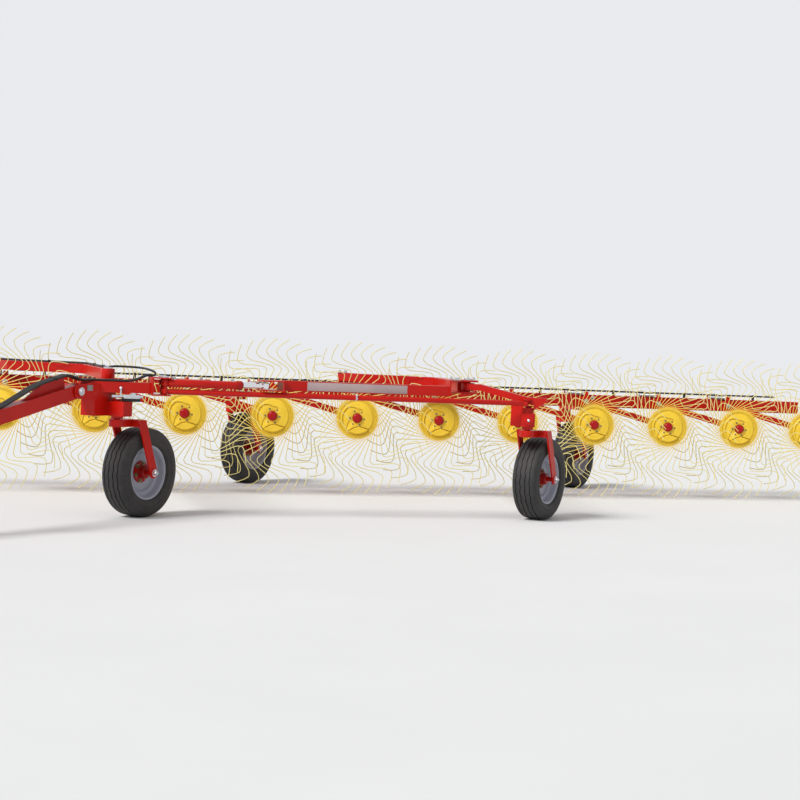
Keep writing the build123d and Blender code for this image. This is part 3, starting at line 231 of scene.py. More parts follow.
class Graph:
    """The node tree of one material, round a Principled shader."""

    def __init__(self, name: str) -> None:
        """Start a material with a shader and an output.

        Args:
            name: Name of the material.
        """
        self.material = bpy.data.materials.new(name)
        self.material.use_nodes = True
        self.tree = self.material.node_tree
        self.tree.nodes.clear()
        self.shader = self.tree.nodes.new("ShaderNodeBsdfPrincipled")
        output = self.tree.nodes.new("ShaderNodeOutputMaterial")
        self.tree.links.new(self.shader.outputs[0], output.inputs["Surface"])

    def add(
        self,
        kind: str,
        settings: dict[str, object],
        inputs: dict[Union[str, int], object],
        output: Union[str, int] = 0,
    ) -> Wire:
        """Add a node.

        Args:
            kind: Type of the node.
            settings: Values of its own settings, made first.
            inputs: Values or links of its sockets.
            output: Which socket to return.

        Returns:
            The chosen output.
        """
        node = self.tree.nodes.new(kind)
        for name, value in settings.items():
            setattr(node, name, value)
        for name, value in inputs.items():
            self.feed(node.inputs[name], value)
        return Wire(self, node.outputs[output])

    def feed(self, socket: bpy.types.NodeSocket, value: object) -> None:
        """Link a value to a socket, or write it there.

        Args:
            socket: An input of a node.
            value: A link, a colour or a plain value.
        """
        if isinstance(value, Wire):
            self.tree.links.new(value.socket, socket)
        elif isinstance(value, tuple) and socket.type == "RGBA":
            socket.default_value = (*value, 1.0)
        else:
            socket.default_value = value

    def place(self) -> Wire:
        """Give the object's own coordinates, in metres."""
        return self.add("ShaderNodeTexCoord", {}, {}, "Object")

    def noise(self, scale: float, detail: float) -> Wire:
        """Add a noise.

        Args:
            scale: Its waves in a metre.
            detail: Its octaves.

        Returns:
            A value around 0.5.
        """
        inputs = {"Vector": self.place(), "Scale": scale, "Detail": detail, "Roughness": 0.6}
        return self.add("ShaderNodeTexNoise", {}, inputs)

    def upward(self) -> Wire:
        """Give how far the surface faces up, from -1 to 1."""
        normal = self.add("ShaderNodeNewGeometry", {}, {}, "Normal")
        return self.add("ShaderNodeSeparateXYZ", {}, {0: normal}, "Z")

    def mix(self, share: Wire, first: object, second: object) -> Wire:
        """Mix two colours.

        Args:
            share: How much of the second.
            first: A colour or a link.
            second: A colour or a link.

        Returns:
            The mixed colour.
        """
        return self.add("ShaderNodeMix", {"data_type": "RGBA"}, {0: share, 6: first, 7: second}, 2)

    def bump(self, height: Wire, depth: float, strength: float) -> None:
        """Let a height value feed the shader's normal.

        Args:
            height: A value from 0 to 1.
            depth: Metres between 0 and 1.
            strength: How strongly it shows.
        """
        inputs = {"Height": height, "Distance": depth, "Strength": strength}
        self.set(Normal=self.add("ShaderNodeBump", {}, inputs))

    def set(self, **values: object) -> None:
        """Feed the shader's sockets, named with _ for a space."""
        for name, value in values.items():
            self.feed(self.shader.inputs[name.replace("_", " ")], value)


def scaled(colour: Colour, factor: float) -> Colour:
    """Lighten or darken a colour."""
    red, green, blue = colour
    return red * factor, green * factor, blue * factor


@dataclass(frozen=True)
class Finish:
    """A finish that makes its material once."""

    name: str

    def material(self) -> bpy.types.Material:
        """Make the material on first use.

        Returns:
            The finish's material.
        """
        known = bpy.data.materials.get(self.name)
        if known:
            return known
        graph = Graph(self.name)
        self.dress(graph)
        return graph.material

    def dress(self, graph: Graph) -> None:
        """Add the finish's nodes to a material's graph."""
        raise NotImplementedError


DUST: Colour = (0.36, 0.31, 0.22)
DRIED_MUD: Colour = (0.17, 0.15, 0.125)


@dataclass(frozen=True)
class Paint(Finish):
    """Gloss paint, a little cloudy, with field dust where it faces up, worn edges and, where asked,
    painted shade in its recesses.
    """

    colour: Colour
    gloss: float = 0.3
    dust: float = 0.07
    wear: float = 0.35
    wear_and_shade_colour: Colour = (0.2, 0.12, 0.1)
    inner: Optional[Colour] = None
    inner_r: Pair = (0.2, 0.4)
    painted_shade: float = 0.0
    painted_shade_reach: float = 0.02
    cloud_waves: float = 2.3
    speck_waves: float = 38.0
    peel_waves: float = 260.0
    peel_depth: float = 0.0004
    edge_r: float = 0.004

    def dress(self, graph: Graph) -> None:
        """Add the finish's nodes.

        Args:
            graph: The material's graph.
        """
        cloud = graph.noise(self.cloud_waves, 4).over(0.35, 0.7)
        fine = graph.noise(self.speck_waves, 5)
        base = graph.mix(cloud, scaled(self.colour, 0.86), scaled(self.colour, 1.06))
        if self.inner:
            length = {"operation": "LENGTH"}
            radius = graph.add("ShaderNodeVectorMath", length, {0: graph.place()}, "Value")
            base = graph.mix(radius.over(*self.inner_r), self.inner, base)
        rounded = graph.add("ShaderNodeBevel", {"samples": 4}, {"Radius": self.edge_r})
        flat = graph.add("ShaderNodeNewGeometry", {}, {}, "Normal")
        dot = {"operation": "DOT_PRODUCT"}
        level = graph.add("ShaderNodeVectorMath", dot, {0: rounded, 1: flat}, "Value")
        edge = (1.0 - level).over(0.015, 0.12) * fine.over(0.5, 0.72) * self.wear
        settled = graph.upward().over(0.3, 1.0) * fine.over(0.38, 0.75) * self.dust
        coloured = graph.mix(edge, graph.mix(settled, base, DUST), self.wear_and_shade_colour)
        # Painted shade: an ambient-occlusion mask darkens recesses and creases towards the wear
        # colour
        if self.painted_shade:
            reach = {"Distance": self.painted_shade_reach}
            open_share = graph.add("ShaderNodeAmbientOcclusion", {"samples": 8}, reach, "AO")
            shaded_share = (1.0 - open_share).over(0.12, 0.5)
            coloured = graph.mix(shaded_share * self.painted_shade, coloured, self.wear_and_shade_colour)
        graph.set(Base_Color=coloured, Roughness=settled * 1.6 + fine * 0.1 + (self.gloss - 0.05))
        graph.set(Coat_Weight=(1.0 - settled) * 0.08, Coat_Roughness=0.08, Specular_IOR_Level=0.2)
        graph.bump(graph.noise(self.peel_waves, 2), self.peel_depth, 0.12)


@dataclass(frozen=True)
class Metal(Finish):
    """Bare, plated or chromed metal with fine spangle."""

    colour: Colour
    gloss: float = 0.35
    grain: float = 90.0
    grain_depth: float = 0.0003
    stain: float = 0.25
    stain_waves: float = 14.0

    def dress(self, graph: Graph) -> None:
        """Add the finish's nodes.

        Args:
            graph: The material's graph.
        """
        spot = graph.noise(self.grain, 4)
        patch = graph.noise(self.stain_waves, 5).over(0.48, 0.75) * self.stain
        base = graph.mix(spot.over(0.3, 0.7), scaled(self.colour, 0.82), self.colour)
        dull = graph.mix(patch, base, scaled(self.colour, 0.4))
        graph.set(Base_Color=dull, Metallic=1.0 - patch * 0.5)
        graph.set(Roughness=spot * 0.12 + patch * 0.4 + (self.gloss - 0.06))
        graph.bump(spot, self.grain_depth, 0.1)


@dataclass(frozen=True)
class Rubber(Finish):
    """Black rubber with dry dust."""

    colour: Colour = (0.022, 0.022, 0.024)
    dust: float = 0.3
    roughness: float = 0.62
    grain: float = 60.0
    grain_depth: float = 0.0006
    patch_waves: float = 5.0

    def dress(self, graph: Graph) -> None:
        """Add the finish's nodes.

        Args:
            graph: The material's graph.
        """
        fine = graph.noise(self.grain, 6)
        patch = graph.noise(self.patch_waves, 4).over(0.4, 0.72)
        share = (fine.over(0.35, 0.8) * 0.5 + patch * 0.5) * self.dust
        graph.set(Base_Color=graph.mix(share, self.colour, DRIED_MUD))
        graph.set(Roughness=share * 0.4 + self.roughness, Specular_IOR_Level=0.35)
        graph.bump(fine, self.grain_depth, 0.35)


RED = Paint("red_paint", (0.55, 0.008, 0.003), dust=0.05)
# A darker copy of the red paint that stands in for shade; the hubs and the cylinders' glands wear it
SHADED_RED = Paint("shaded_red_paint", (0.38, 0.006, 0.003), gloss=0.34)
CAP_RED = Paint("red_cap_plastic", (0.45, 0.006, 0.008), gloss=0.22, dust=0.03, wear=0.0)
# The disc's paint darkens its pressed grooves and recesses with painted shade, in the same dark brown
# as its worn edges
DISC_YELLOW = Paint(
    "yellow_disc_paint",
    (0.98, 0.66, 0.05),
    gloss=0.36,
    dust=0.04,
    wear_and_shade_colour=(0.20, 0.09, 0.01),
    painted_shade=0.9,
)
TINE_YELLOW = Paint(
    "yellow_tine_paint",
    (0.80, 0.70, 0.27),
    gloss=0.4,
    dust=0.08,
    wear=0.0,
    inner=(0.88, 0.62, 0.08),
)
BARE_STEEL: Colour = (0.25, 0.24, 0.23)
BLACK = Paint("black_paint", (0.018, 0.018, 0.02), gloss=0.36, dust=0.12, wear_and_shade_colour=BARE_STEEL)
# Silver rim paint, darkened as painted shade
SHADED_SILVER = Paint("shaded_silver_rim_paint", (0.38, 0.40, 0.47), gloss=0.34, dust=0.1, wear=0.2)
PALE = Paint("pale_band_paint", (0.47, 0.36, 0.36), gloss=0.35, dust=0.1, wear=0.2)
GREY_PLATE = Paint("grey_plate", (0.30, 0.28, 0.27), gloss=0.4, dust=0.1)
ZINC = Metal("zinc_plate", (0.62, 0.63, 0.64), gloss=0.34)
DULL_ZINC = Metal("dull_zinc", (0.30, 0.28, 0.16), gloss=0.45)
GALVANISED = Metal("galvanised_steel", (0.66, 0.69, 0.72), gloss=0.42, grain=45.0, stain=0.15)
CHROME = Metal("chrome", (0.86, 0.86, 0.88), gloss=0.12, grain=200.0, stain=0.05)
TYRE_RUBBER = Rubber("tyre_rubber")
HOSE_RUBBER = Rubber("hose_rubber", (0.012, 0.012, 0.013), dust=0.12, roughness=0.42)


class Shell:
    """Faces of one piece, collected before they become an object."""

    def __init__(self) -> None:
        """Start with no faces."""
        self.faces = bmesh.new()

    def skin(self, rings: Sequence[Sequence[Vector]]) -> None:
        """Join rings of points by faces.

        Args:
            rings: Rings with the same number of points, or with one for a tip.
        """
        made = [[self.faces.verts.new(point) for point in ring] for ring in rings]
        for low, high in zip(made, made[1:]):
            count = max(len(low), len(high))
            for i in range(count):
                j = (i + 1) % count
                near = [low[i % len(low)], low[j % len(low)]]
                far = [high[j % len(high)], high[i % len(high)]]
                corners = list(dict.fromkeys(near + far))
                if len(corners) > 2:
                    self.faces.faces.new(corners)

    def turn(self, place: Matrix, profile: Profile, steps: int = 32) -> None:
        """Turn a profile about local Z.

        Args:
            place: Where the local frame goes.
            profile: Radius and height of each point.
            steps: Sides of the turned shape.
        """
        rings = []
        for radius, height in profile:
            count = steps if radius > MICRO else 1
            angles = round_angles(steps)[:count]
            rings.append([place @ round_point(radius, angle, height) for angle in angles])
        self.skin(rings)

    def tube(self, path: Sequence[Vector], radius: float, sides: int = 10) -> None:
        """Run a round tube along a line, with closed ends.

        Args:
            path: Points of the line.
            radius: The tube's radius.
            sides: Sides round it.
        """
        ways = [(b - a).normalized() for a, b in zip(path, path[1:])]
        ways = [ways[0], *[(a + b).normalized() for a, b in zip(ways, ways[1:])], ways[-1]]
        side = ways[0].orthogonal().normalized()
        rings = [[path[0].copy()]]
        for point, way in zip(path, ways):
            side = (side - way * side.dot(way)).normalized()
            other = way.cross(side)
            ring = []
            for angle in round_angles(sides):
                ring.append(point + (side * math.cos(angle) + other * math.sin(angle)) * radius)
            rings.append(ring)
        rings.append([path[-1].copy()])
        self.skin(rings)

    def block(self, place: Matrix, size: Sequence[float], soft: float) -> None:
        """Add a box with rounded edges, centred on a local frame.

        Args:
            place: Where the local frame goes.
            size: Its three sides.
            soft: Radius of its edges.
        """
        scale = Matrix.Diagonal((*size, 1.0))
        made = bmesh.ops.create_cube(self.faces, size=1.0, matrix=place @ scale)
        edges = list({edge for vert in made["verts"] for edge in vert.link_edges})
        bmesh.ops.bevel(self.faces, geom=edges, offset=soft, segments=2, affect="EDGES", profile=0.5)

    def bolt(self, place: Matrix, across: float) -> None:
        """Add a hexagon head on its washer, standing along local Z.

        Args:
            place: Where the local frame goes, on the seat's face.
            across: Width across the flats.
        """
        base = across * 0.12
        rim = across * 1.02
        self.turn(place, [(0, 0), (rim, 0), (rim, base), (0, base)], 20)
        corner = across * 0.577
        top = base + across * 0.62
        hexagon = [(0, base), (corner, base), (corner, top - across * 0.08)]
        self.turn(place, [*hexagon, (corner * 0.88, top), (0, top)], 6)
        thread = across * 0.3
        self.turn(place, [(0, top), (thread, top), (thread, top + thread), (0, top + thread)], 12)

    def pin_head(self, place: Matrix, radius: float, rim: float) -> None:
        """Add a flat pin's head with a chamfer, standing along local Z.

        Args:
            place: Where the local frame goes, on the seat's face.
            radius: Its radius.
            rim: Height of its side.
        """
        top = rim + 0.003
        outline = [(0, 0), (radius, 0), (radius, rim), (radius - 0.004, top), (0, top)]
        self.turn(place, outline, 20)

    def greased_cap(self, place: Matrix, radius: float, rim: float) -> None:
        """Add a pin's round cap with a grease nipple, standing along local Z.

        Args:
            place: Where the local frame goes, on the seat's face.
            radius: The cap's radius.
            rim: Height of its side.
        """
        edge, top = rim + 0.004, rim + 0.005
        cap = [(0, 0), (radius, 0), (radius, rim), (radius - 0.004, edge), (0.012, top), (0, top)]
        self.turn(place, cap)
        nipple = [(0.006, edge), (0.006, edge + 0.01), (0.004, edge + 0.014), (0, edge + 0.015)]
        self.turn(place, nipple, 8)

    def mesh(self, name: str) -> bpy.types.Mesh:
        """Turn the faces into a mesh, welded and facing outwards.

        Args:
            name: Name of the mesh.

        Returns:
            The mesh.
        """
        bmesh.ops.remove_doubles(self.faces, verts=self.faces.verts, dist=MICRO)
        bmesh.ops.recalc_face_normals(self.faces, faces=self.faces.faces)
        data = bpy.data.meshes.new(name)
        self.faces.to_mesh(data)
        self.faces.free()
        return data

    def done(self, name: str, finish: Finish, body: str) -> bpy.types.Object:
        """Turn the faces into an object that rides on a body.

        Args:
            name: Name of the piece.
            finish: What it is dressed in.
            body: The body that it moves with.

        Returns:
            The object.
        """
        data = self.mesh(name)
        return place_mesh(name, data, Matrix.Identity(4), finish, body)


SMOOTH_ANGLE = math.radians(38)
BEVEL_ANGLE = math.radians(40)
WELD_GAP = 1e-5


def put_in_scene(name: str, data: bpy.types.ID) -> bpy.types.Object:
    """Make an object of a mesh, light or camera and link it to the scene.

    Args:
        name: Name of the object.
        data: What it holds.

    Returns:
        The object.
    """
    made = bpy.data.objects.new(name, data)
    bpy.context.scene.collection.objects.link(made)
    return made


def place_mesh(
    name: str, data: bpy.types.Mesh, place: Matrix, finish: Finish, body: str
) -> bpy.types.Object:
    """Make an object of a mesh.

    Args:
        name: Name of the piece.
        data: Its mesh, which several pieces may share.
        place: Where its local frame goes.
        finish: What it is dressed in.
        body: The body that it moves with.

    Returns:
        The object.
    """
    if not data.materials:
        data.materials.append(finish.material())
        data.polygons.foreach_set("use_smooth", [True] * len(data.polygons))
        data.set_sharp_from_angle(angle=SMOOTH_ANGLE)
    piece = put_in_scene(name, data)
    piece.matrix_world = place
    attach(piece, body)
    LOG.info("%s rides on %s", name, body)
    return piece


def dress_node(name: str, finish: Finish, soft: float = 0.003) -> None:
    """Give a solid of the frame its finish and soft edges.

    Args:
        name: Its node.
        finish: What it is dressed in.
        soft: Radius of its edges.
    """
    node = frame["nodes"][name]
    node.data.materials.clear()
    node.data.materials.append(finish.material())
    if soft > 0:
        weld = node.modifiers.new("weld", "WELD")
        weld.merge_threshold = WELD_GAP
        bevel = node.modifiers.new("soft_edges", "BEVEL")
        bevel.width = soft
        bevel.segments = 2
        bevel.limit_method = "ANGLE"
        bevel.angle_limit = BEVEL_ANGLE
        bevel.harden_normals = True
    LOG.info("%s dressed", name)


def bolts(
    name: str, places: Sequence[Matrix], across: float, body: str, finish: Optional[Finish] = None
) -> None:
    """Set hexagon bolts as one piece.

    Args:
        name: Name of the piece.
        places: Where each head sits, standing along its local Z.
        across: Width across the flats.
        body: The body that they move with.
        finish: What they are dressed in, or zinc.
    """
    shell = Shell()
    for place in places:
        shell.bolt(place, across)
    shell.done(name, finish or ZINC, body)


Track = Sequence[Pair]

# Lines pressed into a disc: clockwise degrees from the top, and millimetres from the centre
SWIRL: Track = (
    (-150, 152), (-140, 148), (-105, 137), (-79, 136), (-45, 130), (-20, 105), (0, 86), (62, 88),
)
INNER: Track = ((-150, 148), (-139, 144), (-131, 115), (-115, 80), (-100, 56))
LOBE: Track = (
    (130, 150), (136, 134), (147, 100), (163, 80), (180, 82), (196, 92), (205, 115), (214, 150),
)


def along_track(track: Track, angle: float) -> float:
    """Read a pressed line at an angle.

    Args:
        track: The line's points.
        angle: Clockwise degrees from the top.

    Returns:
        Its distance from the centre in metres, or 0 past its ends.
    """
    for (low, first), (high, second) in zip(track, track[1:]):
        if low <= angle <= high:
            return (first + (second - first) * (angle - low) / (high - low)) / 1000
    return 0.0


def ease(value: float) -> float:
    """Ramp smoothly from 0 to 1."""
    held = min(max(value, 0.0), 1.0)
    return held * held * (3 - 2 * held)


@dataclass
class FingerWheels:
    """The finger wheels of the row, all from the same meshes."""

    count: int = 11
    pitch: float = 0.794
    first_s: float = -0.794
    hub_h: float = 0.712
    tine_count: int = 40
    tine_r: float = 0.0035
    tine_sides: int = 8
    tine_front: float = 0.003
    root_turn: float = 95.0
    root_r: float = 0.148
    knee_r: float = 0.419
    knee_round: float = 0.02
    plate_r: float = 0.179
    face_r: float = 0.150
    back_z: float = -0.003
    edge_h: float = 0.0075
    roll_h: float = 0.0025
    step_h: float = 0.012
    dome_h: float = 0.010
    dome_r: float = 0.142
    dome_run: float = 0.06
    ridge_h: float = 0.0022
    ridge_start: float = 0.149
    ridge_fall: float = 941.0
    swirl_deep: float = 0.011
    swirl_fades: Pair = (20.0, 40.0)
    lobe_h: float = 0.013
    groove_deep: float = 0.006
    rings: int = 38
    steps: int = 240
    cap_r: float = 0.042
    cap_base: float = 0.03
    cap_top: float = 0.066
    bore_r: float = 0.021
    hub_r: float = 0.042
    hub_back: float = 0.07
    flange_r: float = 0.09
    flange_z: float = -0.011
    bolt_r: float = 0.066
    bolt_turns: tuple[float, ...] = (-24, 39, 97, 157, -147, -90)
    front_bolt: float = 0.009
    back_bolt: float = 0.013

    def place(self, index: int) -> Matrix:
        """Place a wheel: X along its plane, Y up, Z out of its front."""
        hub = at(self.first_s + index * self.pitch, 0, self.hub_h)
        return axes_at(hub, FACE_DIR, PLANE_DIR)

    def polar(self, radius: float, angle: float, height: float) -> Vector:
        """Place a point at a clockwise angle from the top, in degrees."""
        turn = math.radians(angle)
        return Vector((radius * math.sin(turn), radius * math.cos(turn), height))

    def tines(self) -> bpy.types.Mesh:
        """Bend one wire and repeat it round the disc.

        Returns:
            All the wires of a wheel.
        """
        root = [(0.126, -118), (self.root_r, -self.root_turn), (0.166, -78), (0.182, -63)]
        bend = [(0.449, -3.5), (0.484, -13.3), (0.532, -22.7), (0.573, -25.6), (0.600, -25.4)]
        bend += [(0.648, -21.6), (0.6975, -17.0)]
        coil = smooth_path([self.polar(r, a, self.tine_front) for r, a in root], 4)
        crook = [self.polar(r, a, 0.0) for r, a in bend]
        knee = self.polar(self.knee_r, 0, 0.0)
        before = knee + (coil[-1] - knee).normalized() * self.knee_round
        after = knee + (crook[0] - knee).normalized() * self.knee_round
        wire = [*coil, *smooth_path([before, (before + after) / 4 + knee / 2, after, *crook], 3)]
        shell = Shell()
        for angle in round_angles(self.tine_count):
            turn = Matrix.Rotation(-angle, 4, "Z")
            shell.tube([turn @ point for point in wire], self.tine_r, self.tine_sides)
        return shell.mesh("rake_tines")

    def groove(self, off: float, half: float) -> float:
        """Give a groove's depth at a distance from its line."""
        return self.groove_deep * math.exp(-((off / half) ** 2))

    def ridge(self, radius: float, angle: float) -> float:
        """Give the height of the ridges over the wires' leaning roots.

        Args:
            radius: Distance from the centre.
            angle: Clockwise degrees from the top.

        Returns:
            The height, which is below 0 between two ridges.
        """
        lean = angle + self.root_turn - (radius - self.root_r) * self.ridge_fall
        wave = math.cos(math.radians(lean * self.tine_count))
        return self.ridge_h * wave * ease((radius - self.ridge_start) / 0.008)

    def swirl(self, radius: float, angle: float) -> float:
        """Give the depth of the pressed swirl, which fades towards both ends.

        Args:
            radius: Distance from the centre.
            angle: Clockwise degrees from the top, from -180 to 180.

        Returns:
            The depth, which is 0 outside it.
        """
        edge = along_track(SWIRL, angle)
        if not edge:
            return 0.0
        fade_in, fade_out = self.swirl_fades
        fade = ease((SWIRL[-1][0] - angle) / fade_out) * ease((angle - SWIRL[0][0]) / fade_in)
        return self.swirl_deep * fade * ease((edge - radius) / 0.005 + 0.5)

    def relief(self, radius: float, angle: float) -> float:
        """Give the pressed face's height at a point.

        Args:
            radius: Distance from the centre.
            angle: Clockwise degrees from the top, from -180 to 180.

        Returns:
            The height along the wheel's axis.
        """
        rim = ease((self.face_r - radius) / 0.012)
        roll = ease((self.plate_r - radius) / 0.004)
        height = self.edge_h + self.roll_h * roll + self.step_h * rim
        height += self.dome_h * ease((self.dome_r - radius) / self.dome_run)
        height += self.ridge(radius, angle) * roll - self.swirl(radius, angle)
        edge = along_track(INNER, angle)
        if edge:
            height -= self.groove(radius - edge, 0.005)
        edge = along_track(LOBE, angle % 360)
        if edge:
            height += self.lobe_h * ease((radius - edge) / 0.01 + 0.3) * rim
            height -= self.groove(radius - edge, 0.004)
        return height

    def disc(self) -> bpy.types.Mesh:
        """Press the plate that holds the wires.

        Returns:
            The plate with its front, edge and back.
        """
        start = self.cap_r - 0.006
        turns = [360 * step / self.steps - 180 for step in range(self.steps)]
        rows = []
        for ring in range(self.rings + 1):
            radius = start + (self.plate_r - start) * ring / self.rings
            rows.append([self.polar(radius, turn, self.relief(radius, turn)) for turn in turns])
        for radius, z in ((self.plate_r, 0.0), (self.face_r, self.back_z), (start, self.back_z)):
            rows.append([self.polar(radius, turn, z) for turn in turns])
        shell = Shell()
        shell.skin([*rows, rows[0]])
        return shell.mesh("rake_disc")

    def hub(self) -> bpy.types.Mesh:
        """Turn the hub and its flange behind the disc.

        Returns:
            The hub.
        """
        chamfer = 0.004
        profile = [(self.bore_r, -self.hub_back), (self.hub_r - chamfer, -self.hub_back)]
        profile += [(self.hub_r, chamfer - self.hub_back), (self.hub_r, self.flange_z - 0.003)]
        profile += [(self.flange_r - 0.002, self.flange_z), (self.flange_r, self.flange_z + 0.002)]
        profile += [(self.flange_r, self.back_z), (self.bore_r, self.back_z), profile[0]]
        shell = Shell()
        shell.turn(Matrix.Identity(4), profile, 48)
        return shell.mesh("rake_hub")

    def cap(self) -> bpy.types.Mesh:
        """Turn the domed cap.

        Returns:
            The cap.
        """
        base, top, lip = self.cap_base, self.cap_top, self.cap_r + 0.002
        profile = [(0, base), (lip, base), (lip, base + 0.007), (self.cap_r, base + 0.01)]
        profile += [(self.cap_r - 0.001, top - 0.014), (self.cap_r - 0.005, top - 0.007)]
        profile += [(0.029, top - 0.0025), (0.016, top - 0.0005), (0, top)]
        shell = Shell()
        shell.turn(Matrix.Identity(4), profile, 40)
        return shell.mesh("rake_cap")

    def fasteners(self) -> bpy.types.Mesh:
        """Set the small bolts round the cap and behind the flange.

        Returns:
            All the bolts of a wheel.
        """
        shell = Shell()
        for angle in self.bolt_turns:
            face = self.relief(self.bolt_r, angle) - 0.001
            shell.bolt(Matrix.Translation(self.polar(self.bolt_r, angle, face)), self.front_bolt)
            behind = self.polar(self.bolt_r, angle, self.flange_z)
            shell.bolt(turned(Matrix.Translation(behind)), self.back_bolt)
        return shell.mesh("rake_bolts")

    def build(self) -> None:
        """Place every wheel's pieces on its body."""
        made = [
            (self.tines(), TINE_YELLOW, Slot.TINE_YELLOW),
            (self.disc(), DISC_YELLOW, Slot.TINE_YELLOW),
            (self.hub(), SHADED_RED, Slot.ARM_RED),
            (self.cap(), CAP_RED, Slot.ARM_RED),
            (self.fasteners(), DULL_ZINC, Slot.ZINC),
        ]
        for index in range(self.count):
            node = f"rake_wheel_{index + 1:02d}"
            for data, finish, slot in made:
                name = f"{data.name}_{index + 1:02d}"
                piece = place_mesh(name, data, self.place(index), finish, node)
                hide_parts(node)


# Places that several sub-assemblies share, in the row's frame
FRONT_B = -1.945
REAR_B = 0.93
REAR_S = {"right_rear": 1.405, "left_rear": 4.873}
LEFT_FRONT_S = 3.25
SWING_B = -1.7
CYLINDERS_B = {"front": -2.0, "rear": -1.86}
TOOLBAR_B = 0.42
BAR_PIVOT = at(POST_S, POST_B, 0.95)
CORNERS: dict[str, Pair] = {
    "right_front": (-0.051, FRONT_B),
    "left_front": (LEFT_FRONT_S, FRONT_B),
    **{corner: (s, REAR_B) for corner, s in REAR_S.items()},
}


@dataclass
class Casters:
    """The four trailing casters: tyres, rims, hub plates and axle nuts."""

    trail: float = 0.29
    tyre_r: float = 0.34
    tread_half: float = 0.08
    crown_fall: float = 0.0065
    groove_at: Pair = (0.021, 0.061)
    groove_half: float = 0.0035
    groove_deep: float = 0.008
    sway: float = 0.0025
    bead_r: float = 0.192
    bead_z: float = 0.076
    steps: int = 96
    plate_z: float = 0.006
    plate_deep: float = 0.01
    nut_count: int = 6
    nut_r: float = 0.066
    nut_turn: float = 0.3
    wheel_nut: float = 0.017
    valve_r: float = 0.004
    fork_outside: float = 0.139
    boss_r: float = 0.034
    boss_out: float = 0.006
    axle_nut: float = 0.029

    def place(self, corner: str) -> Matrix:
        """Place a wheel: Z along its axle to the machine's left, Y up."""
        hub = at(*CORNERS[corner], self.tyre_r) - Vector((self.trail, 0, 0))
        return facing(hub, Vector((0, 1, 0)))

    def tread(self) -> list[Triple]:
        """List the outside from edge to edge.

        Returns:
            Place across, radius and share of the sway of each point.
        """
        line = [(0.0, self.tyre_r, 0.0)]
        for centre in self.groove_at:
            for side, deep in ((-1.3, 0.0), (-1, 1.0), (1, 1.0), (1.3, 0.0)):
                z = centre + side * self.groove_half
                crown = self.tyre_r - self.crown_fall * (z / self.tread_half) ** 2
                line.append((z, crown - deep * self.groove_deep, 1.0))
        shoulder = [(self.tread_half, 0.3335), (0.090, 0.3285), (0.0985, 0.318), (0.103, 0.303)]
        shoulder += [(0.1045, 0.300), (0.1065, 0.283), (0.1072, 0.263), (0.1052, 0.262)]
        shoulder += [(0.1048, 0.256), (0.1068, 0.255), (0.1045, 0.238), (0.098, 0.222)]
        shoulder += [(0.0935, 0.2215), (0.0905, 0.213), (0.083, 0.2095)]
        line += [(z, r, 0.0) for z, r in shoulder]
        return [(-z, r, share) for z, r, share in line[:0:-1]] + line

    def tyre(self) -> bpy.types.Mesh:
        """Turn the tyre with its wavy grooves, raised rings and inside.

        Returns:
            The tyre.
        """
        line = self.tread()
        inside = [(self.bead_z, self.bead_r, 0.0), (-self.bead_z, self.bead_r, 0.0)]
        rings = []
        for z, radius, share in [*line, *inside, line[0]]:
            ring = []
            for i, angle in enumerate(round_angles(self.steps)):
                wave = share * self.sway * (1 if i // 2 % 2 else -1)
                ring.append(round_point(radius, angle, z + wave))
            rings.append(ring)
        shell = Shell()
        shell.skin(rings)
        return shell.mesh("tyre")

    def rim(self) -> bpy.types.Mesh:
        """Turn the stepped rim, whose two flanges mirror each other.

        Returns:
            The rim.
        """
        flange = [(0.191, 0.0775), (0.206, 0.0785), (0.209, 0.082), (0.207, 0.0855)]
        flange += [(0.2, 0.0855), (0.192, 0.08), (0.187, 0.066)]
        well = [(0.184, 0.045), (0.178, 0.033), (0.158, 0.028), (0.152, 0.033), (0.147, 0.031)]
        plate = [(0.141, 0.016), (0.132, 0.008), (0.086, 0.005), (0.045, 0.005)]
        back = [(0.045, -0.004), (0.13, -0.003), (0.168, 0.014), (0.178, 0.0), (0.181, -0.03)]
        far = [(radius, -z) for radius, z in reversed(flange)]
        shell = Shell()
        shell.turn(Matrix.Identity(4), [*flange, *well, *plate, *back, *far, flange[0]], 72)
        return shell.mesh("rim")

    def hub(self) -> bpy.types.Mesh:
        """Turn the hub plate and drum, dark with painted shade.

        Returns:
            The hub.
        """
        low, top = self.plate_z - 0.002, self.plate_z + self.plate_deep
        profile = [(0.02, 0.07), (0.04, 0.07), (0.046, 0.064), (0.047, 0.03), (0.052, top + 0.003)]
        profile += [(0.056, top), (0.083, top), (0.084, top - 0.002), (0.084, low)]
        profile += [(0.046, low), (0.046, -0.064), (0.04, -0.07), (0.02, -0.07), profile[0]]
        shell = Shell()
        shell.turn(Matrix.Identity(4), profile, 48)
        return shell.mesh("hub")

    def wheel_nuts(self) -> bpy.types.Mesh:
        """Set the wheel nuts and the valve.

        Returns:
            The nuts and the valve of a wheel.
        """
        shell = Shell()
        for angle in round_angles(self.nut_count, self.nut_turn):
            seat = round_point(self.nut_r, angle, self.plate_z + self.plate_deep)
            shell.bolt(Matrix.Translation(seat), self.wheel_nut)
        valve = [(0.105, 0.105, 0.006), (0.108, 0.108, 0.03), (0.112, 0.112, 0.05)]
        shell.tube([Vector(point) for point in valve], self.valve_r, 8)
        return shell.mesh("wheel_nuts")

